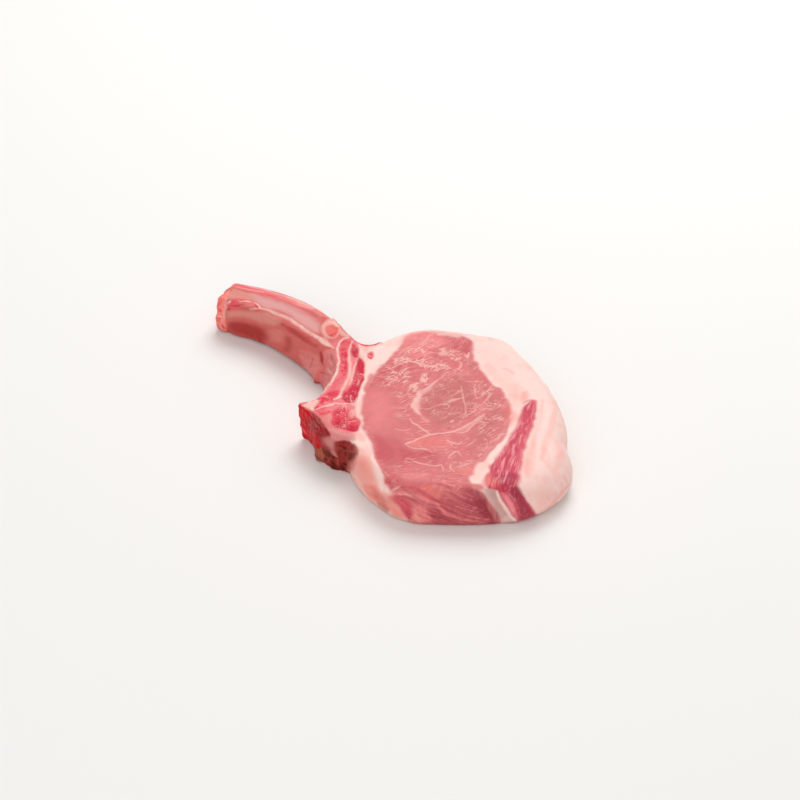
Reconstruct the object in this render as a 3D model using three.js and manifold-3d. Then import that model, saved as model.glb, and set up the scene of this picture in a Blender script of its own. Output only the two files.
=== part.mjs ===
// A raw pork rack chop lying flat: the loin with its fat and cap muscle, the sawn vertebra and the long rib.
// Millimetres, +Z up. The origin is on the floor under the middle of the chop, and +X runs from the rib's
// end towards the back fat.
import * as THREE from "three";
import { mergeVertices } from "three/addons/utils/BufferGeometryUtils.js";
import Module from "manifold-3d";

const wasm = await Module();
wasm.setup();

// Driving dimensions
const SLAB = 22; // height of the cut face above the floor
const DOME = 2.5; // swell of the eye of the loin above the edge of the cut face
const FOOT_SHARE = 0.45; // rounding at the floor as a share of the rounding of the cut face's edge above it
const GAP = 0.3; // clearance between neighbouring tissues
const CUT_MARGIN = 4; // how far the muscles' outlines reach past the slab above and below
const GRAIN_LEAN = 0.5; // sideways run of the muscles for each millimetre of depth
const GRAIN_BEARING = THREE.MathUtils.degToRad(40); // direction of that run, from +X towards +Y
const LOIN_CENTRE = [43, 0.5]; // middle of the loin in plan
const BONE_EDGE = 1.2; // rounding on the sawn edges of the vertebra
const RIB_SQUARENESS = 4; // 2 is an oval rib section, higher is closer to a rectangle

// How finely the curved stretches are divided
const LOIN_POINTS = 120;
const MUSCLE_POINTS = 72;
const SHOULDER_STEPS = 5;
const FOOT_STEPS = 3;
const DOME_RINGS = [0.86, 0.66, 0.44, 0.22];
const BONE_STATIONS = 34;
const RIB_STATIONS = 26;
const RIB_POINTS = 24;

// Outline of the loin: x, y and the rounding of the cut face's edge there, counter-clockwise from the back corner
const LOIN_EDGE = [
  [-21.5, 19.5, 3],
  [-21, 10, 3],
  [-15, -1, 3],
  [-6, -17, 3],
  [6, -36, 3],
  [17, -50.5, 4],
  [26.5, -55.5, 6],
  [40.5, -61, 7],
  [56.5, -64, 8],
  [72, -59.5, 8],
  [86.5, -48, 7],
  [98, -38.5, 7],
  [107, -30, 10],
  [113.5, -20.5, 14],
  [116, -10, 15],
  [113.5, 1, 14],
  [107.5, 10.5, 12],
  [99.5, 19, 12],
  [88.5, 29.5, 10],
  [73.5, 41, 8],
  [56.5, 50.5, 6],
  [38.5, 58.5, 5],
  [23.5, 63, 4],
  [6.5, 54.5, 3],
  [-9.5, 45.5, 3],
  [-17.5, 34.5, 3],
];

// Edge of the eye of the loin on the cut face. It runs past the outline at the front, where the lean reaches the side.
const EYE_EDGE = [
  [-13.5, 34.5],
  [-12.5, 25.5],
  [-9.5, 16.5],
  [-8, 5.5],
  [-5.5, -4.5],
  [-0.5, -18],
  [7.5, -30],
  [17.5, -40],
  [27.5, -48],
  [34.5, -55],
  [43.5, -62.5],
  [53.5, -73.5],
  [73.5, -81.5],
  [98.5, -57.5],
  [91.5, -44.5],
  [84.5, -40],
  [81.5, -31.5],
  [79, -19.5],
  [77, -7.5],
  [73.5, 4.5],
  [68.5, 13.5],
  [61.5, 20.5],
  [53.5, 25.5],
  [45.5, 27],
  [36.5, 31.5],
  [26.5, 37.5],
  [18.5, 44.5],
  [13, 50.5],
  [6.5, 51],
  [-5.5, 44.5],
];

// Edge of the dark cap muscle that lies in the fat, also run past the outline at the front
const CAP_EDGE = [
  [67, 27],
  [70.5, 19.5],
  [75.5, 10.5],
  [79.5, -0.5],
  [82.5, -9.5],
  [84, -18.5],
  [86.5, -27.5],
  [91, -35.5],
  [101.5, -45.5],
  [112.5, -36.5],
  [103.5, -29],
  [100.5, -23.5],
  [95.5, -14.5],
  [90, -4.5],
  [85, 5.5],
  [79.5, 16.5],
  [73.5, 26],
  [68.5, 29.5],
];

// The vertebra from the rib's head to its front: the edge on the hollow side, the edge on the loin side, and how far
// the hollow side spreads at the floor
const VERTEBRA = [
  { hollow: [-41.5, 2.5], loin: [-38.5, 14.5], spread: 6 },
  { hollow: [-37.5, -0.5], loin: [-29.5, 13], spread: 7 },
  { hollow: [-32.5, -4], loin: [-21.5, 11.5], spread: 7 },
  { hollow: [-26.5, -9.5], loin: [-15, 1.5], spread: 5.5 },
  { hollow: [-22, -16.5], loin: [-9.5, -7.5], spread: 3.5 },
  { hollow: [-18.5, -24.5], loin: [-3, -19.5], spread: 1 },
  { hollow: [-16.5, -32.5], loin: [4.5, -30.5], spread: 0 },
  { hollow: [-16, -39.5], loin: [13.5, -40], spread: 0 },
  { hollow: [-19.5, -45], loin: [19.5, -47.5], spread: 0 },
  { hollow: [-10.5, -49], loin: [18, -51.5], spread: 0 },
  { hollow: [-1.5, -53.5], loin: [10.5, -54], spread: 0 },
];

// The rib from its end to its head: place along X, back and front edges in Y, height of its underside and top, how far
// its front spreads at the floor, and how far the section leans back along X for each millimetre of Y
const RIB = [
  { x: -116, back: 10.5, front: -1.5, under: 2, top: 19, spread: 0, lean: 0.2 },
  { x: -114.8, back: 12.5, front: -3.5, under: 0.5, top: 20.8, spread: 0, lean: 0.25 },
  { x: -102, back: 17.6, front: -1.8, under: 0, top: 21.5, spread: 0, lean: 0.1 },
  { x: -86, back: 21.6, front: 0.4, under: 1, top: 21.8, spread: 0, lean: 0 },
  { x: -71.5, back: 22.6, front: -0.6, under: 1, top: 21.8, spread: 0, lean: 0 },
  { x: -58.5, back: 20.8, front: -1.8, under: 0.5, top: 21.8, spread: 0.5, lean: 0 },
  { x: -49.5, back: 18.8, front: -2.8, under: 0, top: 21.8, spread: 1, lean: 0 },
  { x: -41.5, back: 16.4, front: -3, under: 0, top: 21.8, spread: 2.5, lean: 0 },
  { x: -36, back: 14, front: -3.5, under: 0, top: 21.8, spread: 4, lean: 0 },
];

const COLOURS = {
  lean: "#dc8284",
  cap: "#cf5470",
  fat: "#f8dccf",
  bone: "#d9465a",
  rib: "#c9706a",
};

// Closed surface through rings of points, each ring counter-clockwise seen from the end that the rings run to
function skin(rings, firstCentre, lastCentre) {
  const count = rings[0].length;
  const points = [...rings.flat(), firstCentre, lastCentre];
  const first = points.length - 2;
  const last = points.length - 1;
  const lastRing = (rings.length - 1) * count;
  const index = [];
  for (let i = 0; i < count; i++) {
    const next = (i + 1) % count;
    index.push(first, next, i);
    for (let ring = 0; ring < lastRing; ring += count) {
      index.push(ring + i, ring + next, ring + count + next);
      index.push(ring + i, ring + count + next, ring + count + i);
    }
    index.push(last, lastRing + i, lastRing + next);
  }
  return new THREE.BufferGeometry().setFromPoints(points).setIndex(index);
}

function solidOf(geometry) {
  geometry.deleteAttribute("normal");
  geometry.deleteAttribute("uv");
  const merged = mergeVertices(geometry, 1e-4);
  const vertProperties = new Float32Array(merged.attributes.position.array);
  const triVerts = new Uint32Array(merged.index.array);
  return new wasm.Manifold(new wasm.Mesh({ numProp: 3, vertProperties, triVerts }));
}

function meshOf(name, solid, colour, roughness) {
  const { vertProperties, triVerts } = solid.getMesh();
  const geometry = new THREE.BufferGeometry();
  geometry.setAttribute("position", new THREE.BufferAttribute(vertProperties, 3));
  geometry.setIndex(new THREE.BufferAttribute(triVerts, 1));
  geometry.computeVertexNormals();
  const mesh = new THREE.Mesh(geometry, new THREE.MeshStandardMaterial({ color: colour, roughness, metalness: 0 }));
  mesh.name = name;
  return mesh;
}

// The slab of loin: a flat foot, straight sides, a rounded shoulder and a low dome, as rings from the floor upwards
function loinSolid() {
  const centre = new THREE.Vector3(...LOIN_CENTRE, 0);
  const path = new THREE.CatmullRomCurve3(LOIN_EDGE.map((row) => new THREE.Vector3(...row)), true);
  const edge = path.getPoints(LOIN_POINTS).slice(0, LOIN_POINTS);
  const placed = (row, inset, z) => {
    const outward = new THREE.Vector3(row.x, row.y, 0).sub(centre);
    const reach = outward.length();
    return outward.setLength(reach - inset).add(centre).setZ(z);
  };
  const rings = [];
  for (let step = 0; step <= FOOT_STEPS; step++) {
    const turn = (step / FOOT_STEPS) * (Math.PI / 2);
    rings.push(
      edge.map((row) => {
        const foot = row.z * FOOT_SHARE;
        return placed(row, foot * (1 - Math.sin(turn)), foot * (1 - Math.cos(turn)));
      }),
    );
  }
  for (let step = 0; step <= SHOULDER_STEPS; step++) {
    const turn = (step / SHOULDER_STEPS) * (Math.PI / 2);
    rings.push(
      edge.map((row) => placed(row, row.z * (1 - Math.cos(turn)), SLAB - row.z * (1 - Math.sin(turn)))),
    );
  }
  for (const share of DOME_RINGS) {
    rings.push(
      edge.map((row) => {
        const rim = placed(row, row.z, 0).distanceTo(centre);
        const reach = Math.hypot(row.x - centre.x, row.y - centre.y);
        return placed(row, reach - rim * share, SLAB + DOME * (1 - share * share));
      }),
    );
  }
  return solidOf(skin(rings, centre.clone(), centre.clone().setZ(SLAB + DOME)));
}

// A muscle's outline on the cut face as a leaning prism, grown outwards by a clearance
function musclePrism(edge, grow) {
  const path = new THREE.CatmullRomCurve3(edge.map(([x, y]) => new THREE.Vector3(x, y, 0)), true);
  const outline = [];
  for (let i = 0; i < MUSCLE_POINTS; i++) {
    const point = path.getPoint(i / MUSCLE_POINTS);
    const along = path.getTangent(i / MUSCLE_POINTS);
    outline.push(new THREE.Vector2(point.x + along.y * grow, point.y - along.x * grow));
  }
  const depth = SLAB + DOME + 2 * CUT_MARGIN;
  const prism = new THREE.ExtrudeGeometry(new THREE.Shape(outline), { depth, bevelEnabled: false });
  prism.translate(0, 0, -CUT_MARGIN);
  const runX = GRAIN_LEAN * Math.cos(GRAIN_BEARING);
  const runY = GRAIN_LEAN * Math.sin(GRAIN_BEARING);
  // prettier-ignore
  prism.applyMatrix4(new THREE.Matrix4().set(
    1, 0, -runX, runX * SLAB,
    0, 1, -runY, runY * SLAB,
    0, 0, 1, 0,
    0, 0, 0, 1,
  ));
  return solidOf(prism);
}

// The sawn vertebra: box sections with rounded edges between its hollow side and its loin side, grown by a clearance
function vertebraSolid(grow) {
  const line = (side) => new THREE.CatmullRomCurve3(VERTEBRA.map((row) => new THREE.Vector3(...row[side], row.spread)));
  const hollowLine = line("hollow");
  const loinLine = line("loin");
  const rings = [];
  const centres = [];
  for (let station = 0; station <= BONE_STATIONS; station++) {
    const share = station / BONE_STATIONS;
    const hollow = hollowLine.getPoint(share);
    const loin = loinLine.getPoint(share);
    const spread = hollow.z;
    hollow.setZ(0);
    loin.setZ(0);
    const across = loin.clone().sub(hollow).normalize();
    const forward = new THREE.Vector3(across.y, -across.x, 0);
    const endPush = station === 0 ? -grow : station === BONE_STATIONS ? grow : 0;
    const at = (edge, sideways, z) =>
      edge.clone().addScaledVector(across, sideways).addScaledVector(forward, endPush).setZ(z);
    const low = -grow;
    const high = SLAB + grow;
    rings.push([
      at(hollow, -grow - spread, low),
      at(loin, grow, low),
      at(loin, grow, high - BONE_EDGE),
      at(loin, grow - BONE_EDGE, high),
      at(hollow, BONE_EDGE - grow, high),
      at(hollow, -grow, high - BONE_EDGE),
    ]);
    centres.push(at(hollow.clone().lerp(loin, 0.5), 0, SLAB / 2));
  }
  return solidOf(skin(rings, centres[0], centres[BONE_STATIONS]));
}

// The rib: squarish sections along X, the last ones running into the vertebra
function ribSolid() {
  const curve = (u, v) => new THREE.CatmullRomCurve3(RIB.map((row) => new THREE.Vector3(row.x, row[u], row[v])));
  const sides = curve("back", "front");
  const heights = curve("under", "top");
  const leans = curve("spread", "lean");
  const power = 2 / RIB_SQUARENESS;
  const rings = [];
  const centres = [];
  for (let station = 0; station <= RIB_STATIONS; station++) {
    const share = station / RIB_STATIONS;
    const { x, y: back, z: front } = sides.getPoint(share);
    const { y: under, z: top } = heights.getPoint(share);
    const { y: spread, z: lean } = leans.getPoint(share);
    const ring = [];
    for (let i = 0; i < RIB_POINTS; i++) {
      const turn = (i / RIB_POINTS) * Math.PI * 2;
      const side = Math.sign(Math.cos(turn)) * Math.abs(Math.cos(turn)) ** power;
      const rise = Math.sign(Math.sin(turn)) * Math.abs(Math.sin(turn)) ** power;
      const z = Math.max(0, (under + top) / 2 + (rise * (top - under)) / 2);
      const atFloor = (1 - z / SLAB) * (1 - side) * 0.5;
      const sideways = (side * (back - front)) / 2;
      ring.push(new THREE.Vector3(x - lean * sideways, (back + front) / 2 + sideways - spread * atFloor, z));
    }
    rings.push(ring);
    centres.push(new THREE.Vector3(x, (back + front) / 2, (under + top) / 2));
  }
  return solidOf(skin(rings, centres[0], centres[RIB_STATIONS]));
}

const vertebra = vertebraSolid(0);
const vertebraRoom = vertebraSolid(GAP);
const loin = loinSolid().subtract(vertebraRoom);
const eye = loin.intersect(musclePrism(EYE_EDGE, -GAP / 2));
const cap = loin.intersect(musclePrism(CAP_EDGE, -GAP / 2));
const fat = loin.subtract(musclePrism(EYE_EDGE, GAP / 2)).subtract(musclePrism(CAP_EDGE, GAP / 2));
const rib = ribSolid().subtract(vertebraRoom);

const chop = new THREE.Group();
chop.add(
  meshOf("loin_eye", eye, COLOURS.lean, 0.45),
  meshOf("cap_muscle", cap, COLOURS.cap, 0.45),
  meshOf("fat", fat, COLOURS.fat, 0.5),
  meshOf("vertebra", vertebra, COLOURS.bone, 0.4),
  meshOf("rib", rib, COLOURS.rib, 0.4),
);

// The origin goes under the middle of the whole
const middle = new THREE.Box3().setFromObject(chop).getCenter(new THREE.Vector3());
for (const mesh of chop.children) {
  mesh.geometry.translate(-middle.x, -middle.y, 0);
}

export default chop;
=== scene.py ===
"""A raw pork rack chop lying flat: marbled loin, dark cap muscle, pale fat, sawn vertebra and a long rib."""
import functools
import itertools
import math
from types import SimpleNamespace

import bpy
import numpy as np
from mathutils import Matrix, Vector


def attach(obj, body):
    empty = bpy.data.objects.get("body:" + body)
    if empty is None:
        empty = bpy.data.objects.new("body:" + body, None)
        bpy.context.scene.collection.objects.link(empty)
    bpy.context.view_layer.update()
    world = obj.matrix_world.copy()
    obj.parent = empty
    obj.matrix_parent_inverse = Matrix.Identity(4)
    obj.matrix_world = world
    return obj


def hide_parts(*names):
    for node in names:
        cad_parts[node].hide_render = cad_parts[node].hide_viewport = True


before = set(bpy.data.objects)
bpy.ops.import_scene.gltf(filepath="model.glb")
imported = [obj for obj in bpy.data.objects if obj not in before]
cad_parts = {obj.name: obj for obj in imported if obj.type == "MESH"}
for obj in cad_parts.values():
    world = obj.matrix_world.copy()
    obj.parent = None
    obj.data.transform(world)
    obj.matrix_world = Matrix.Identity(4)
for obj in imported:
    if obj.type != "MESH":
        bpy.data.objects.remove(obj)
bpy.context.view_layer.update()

bl_info = {
    "name": "Raw pork rack chop",
    "version": (1, 0, 0),
    "blender": (4, 5, 0),
    "location": "View3D > Sidebar > Chop",
    "description": "Builds a raw rack chop from its lean, fat and bone, with its stage",
    "category": "Add Mesh",
}

# Tables are in millimetres on the plan of the solids before they were centred. This shift centres them.
PLAN_SHIFT = (0.61, 0.48)
MM = 0.001

# Tissues of the chop, in the order that the shape gives their depths in
TISSUES = ("eye", "cap", "fat", "vertebra", "rib")

# Run of the muscles: the cut is not square to them, so they lie further along this way with depth
GRAIN_LEAN = 0.5
GRAIN_RUN = (GRAIN_LEAN * math.cos(math.radians(40)), GRAIN_LEAN * math.sin(math.radians(40)))

# Middle of the loin, which its outline is measured from
LOIN_CENTRE = (43.0, 0.5)

# Outline of the loin, counter-clockwise from the back corner: x, y, rounding of its top and bottom edges
LOIN_EDGE = [
    (-22.3, 20.5, 3, 2), (-21, 10, 3, 2), (-15, -1, 3, 2), (-6, -17, 3, 2), (6, -36, 3, 2),
    (15.5, -50.5, 4, 2), (22, -55, 5, 2), (32, -60, 6, 2), (42.5, -63.2, 7, 2), (56.5, -65.2, 8, 2),
    (68, -62.2, 8, 2), (76.5, -56.3, 8, 2), (87, -48.2, 7, 2), (98, -38.3, 7, 2.5), (106.5, -29.8, 10, 4),
    (112.2, -20.8, 14, 7), (115, -10.5, 16, 9), (114, 0, 15, 9), (109.5, 9.5, 13, 7), (99.7, 17.7, 12, 5),
    (90, 30, 10, 4), (75, 42, 8, 3), (57.5, 51.5, 6, 3), (39, 59, 5, 2), (23.5, 63, 4, 2),
    (6.5, 55.2, 3, 2), (-10, 46.3, 3, 2), (-18.4, 35.2, 3, 2),
]

# Edge of the eye of the loin on the cut face; at the front it runs past the outline
EYE_EDGE = [
    (-13.5, 34.5), (-12.5, 25.5), (-9.5, 16.5), (-8, 5.5), (-5.5, -4.5), (-0.5, -18), (7.5, -30),
    (17.5, -40), (27.5, -48), (34.5, -54.5), (43, -60), (58, -69.5), (75, -81.5), (98.5, -57.5),
    (91.5, -44.5), (84.5, -40), (81.5, -31.5), (79, -19.5), (77, -7.5), (73.5, 4.5), (68.5, 13.5),
    (61.5, 20.5), (53.5, 25.5), (45.5, 27), (36.5, 31.5), (26.5, 37.5), (18.5, 44.5), (13, 50.5),
    (6.5, 51), (-5.5, 44.5),
]

# Edge of the dark cap muscle in the fat; at the front it runs past the outline
CAP_EDGE = [
    (67, 27), (70.5, 19.5), (75.5, 10.5), (79.5, -0.5), (82.5, -9.5), (84, -18.5), (86.5, -27.5),
    (91, -35.5), (101.5, -45.5), (112.5, -36.5), (103.5, -29), (100.5, -23.5), (95.5, -14.5), (90, -4.5),
    (85, 5.5), (79.5, 16.5), (73.5, 26), (68.5, 29.5),
]

# Edges of the vertebra from the rib's head to its front: x, y, spread at the floor
HOLLOW_EDGE = [
    (-41.5, 2.5, 6), (-37.5, -0.5, 7), (-32.5, -4, 7), (-26.5, -9.5, 5.5), (-22, -16.5, 3.5),
    (-18.5, -24.5, 1), (-16.5, -32.5, 0), (-16, -39.5, 0), (-20, -46.3, -1.8), (-10.5, -49.5, -2),
    (-1.5, -53.5, 1),
]
LOIN_SIDE_EDGE = [
    (-38.5, 14.5, 0), (-31, 12.8, 0), (-26.5, 13.8, 0), (-23.8, 17, 0), (-22.8, 20.2, 0),
    (-20.3, 18.5, 0), (-19, 11.5, 0), (-15, 1.5, 0), (-9.5, -7.5, 0), (-3, -19.5, 0), (4.5, -30.5, 0),
    (13.5, -40, 0), (19.5, -47.5, 0), (18, -51.5, 0.5), (10.5, -54, 1.8),
]

# The rib from its end to its head: x, back y, front y, underside z, top z, spread of its front at the floor
RIB = [
    (-121, 13, -4, 0, 21.4, 3), (-115.5, 13.7, -3.5, 0, 21.4, 3), (-102, 18.5, -1.8, 0, 21.8, 2),
    (-86, 22.3, 0.4, 0.6, 21.8, 0.6), (-71.5, 23.2, -0.6, 0.8, 21.8, 0.3),
    (-58.5, 21.4, -1.8, 0.4, 21.8, 0.8), (-51.5, 19.6, -2.6, 0, 21.8, 1.6),
    (-47.5, 18.6, -2.9, 0, 21.8, 3.6), (-41.5, 16.6, -3, 0, 21.8, 4.6), (-36, 14, -3.5, 0, 21.8, 4.6),
    (-30, 11, -4, 0, 21.8, 4),
]

# The rib's cut end, x and y of its middle and its lean for each millimetre across, and x of the rib's head
RIB_END = (-117.8, 5.0, 0.2)
RIB_HEAD = -33.0

# Rounding of upper and lower edges, and fillets where the shapes meet and at the rib's end
VERTEBRA_ROUNDING = (1.2, 2.5)
RIB_ROUNDING = (3.0, 3.5)
FILLET = 1.5
END_FILLET = 4.0

# Torn foot of the rib: number of places along it, and the least and most of the spread there
TEARS = 26
TEAR_RANGE = (0.5, 1.5)

# Grid that the net is drawn on: its corners, and its steps as shares of the mesh step
GRID_LOW = (-122.0, -67.5, -1.7)
GRID_HIGH = (119.0, 66.5, 27.0)
GRID_STEPS = (1, 1, 1.5)

# At a seam: how far two colours run into each other, and how far in the pattern and relief begin
SEAM_SOFTNESS = 1.4
SEAM_MARGIN = 1.6

# The camera's place over the plan, as solved from the photograph
VIEW_BEARING = math.radians(40)
VIEW_HEIGHT = math.radians(36.84)
VIEW_DISTANCE = 1452.0
VIEW_TARGET = (-1.5, 10.5)
VIEW_LENS = 128.1
VIEW_SENSOR = 36

# Facing the camera by less than the first no mark shows, and by more than the second it shows in full
VIEW_GRAZE = (0.02, 0.2)

# Sides of the bones that the photograph doesn't show: tissue, strength, dark and pale cloud
HIDDEN_CLOUDS = (
    ("rib", 0.6, "rib_dark", "rib_tan"),
    ("vertebra", 0.75, "torn", "gristle"),
)
HIDDEN_END = 0.8

# The stage, in metres: floor, light from all round, and lights with their place, size and power
FLOOR_REACH = 3
FLOOR_COLOUR = "#f1efec"
SKY_STRENGTH = 0.5
LIGHTS = (
    ("key", (-0.35, 0.75, 1.15), 0.9, 12),
    ("fill", (0.5, -1.1, 0.8), 1.6, 8),
)

# Painted shade at the foot of the walls, standing in for the shadow where they meet the floor: how much it
# darkens them, and the heights that it fades between
FOOT_SHADE = 0.4
FOOT_SHADE_HEIGHTS = (3.5, 0.5)

# Marks were read in the photograph. Their points are pixels of its 800 x 800 frame.
PHOTO_SIZE = 800

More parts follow.
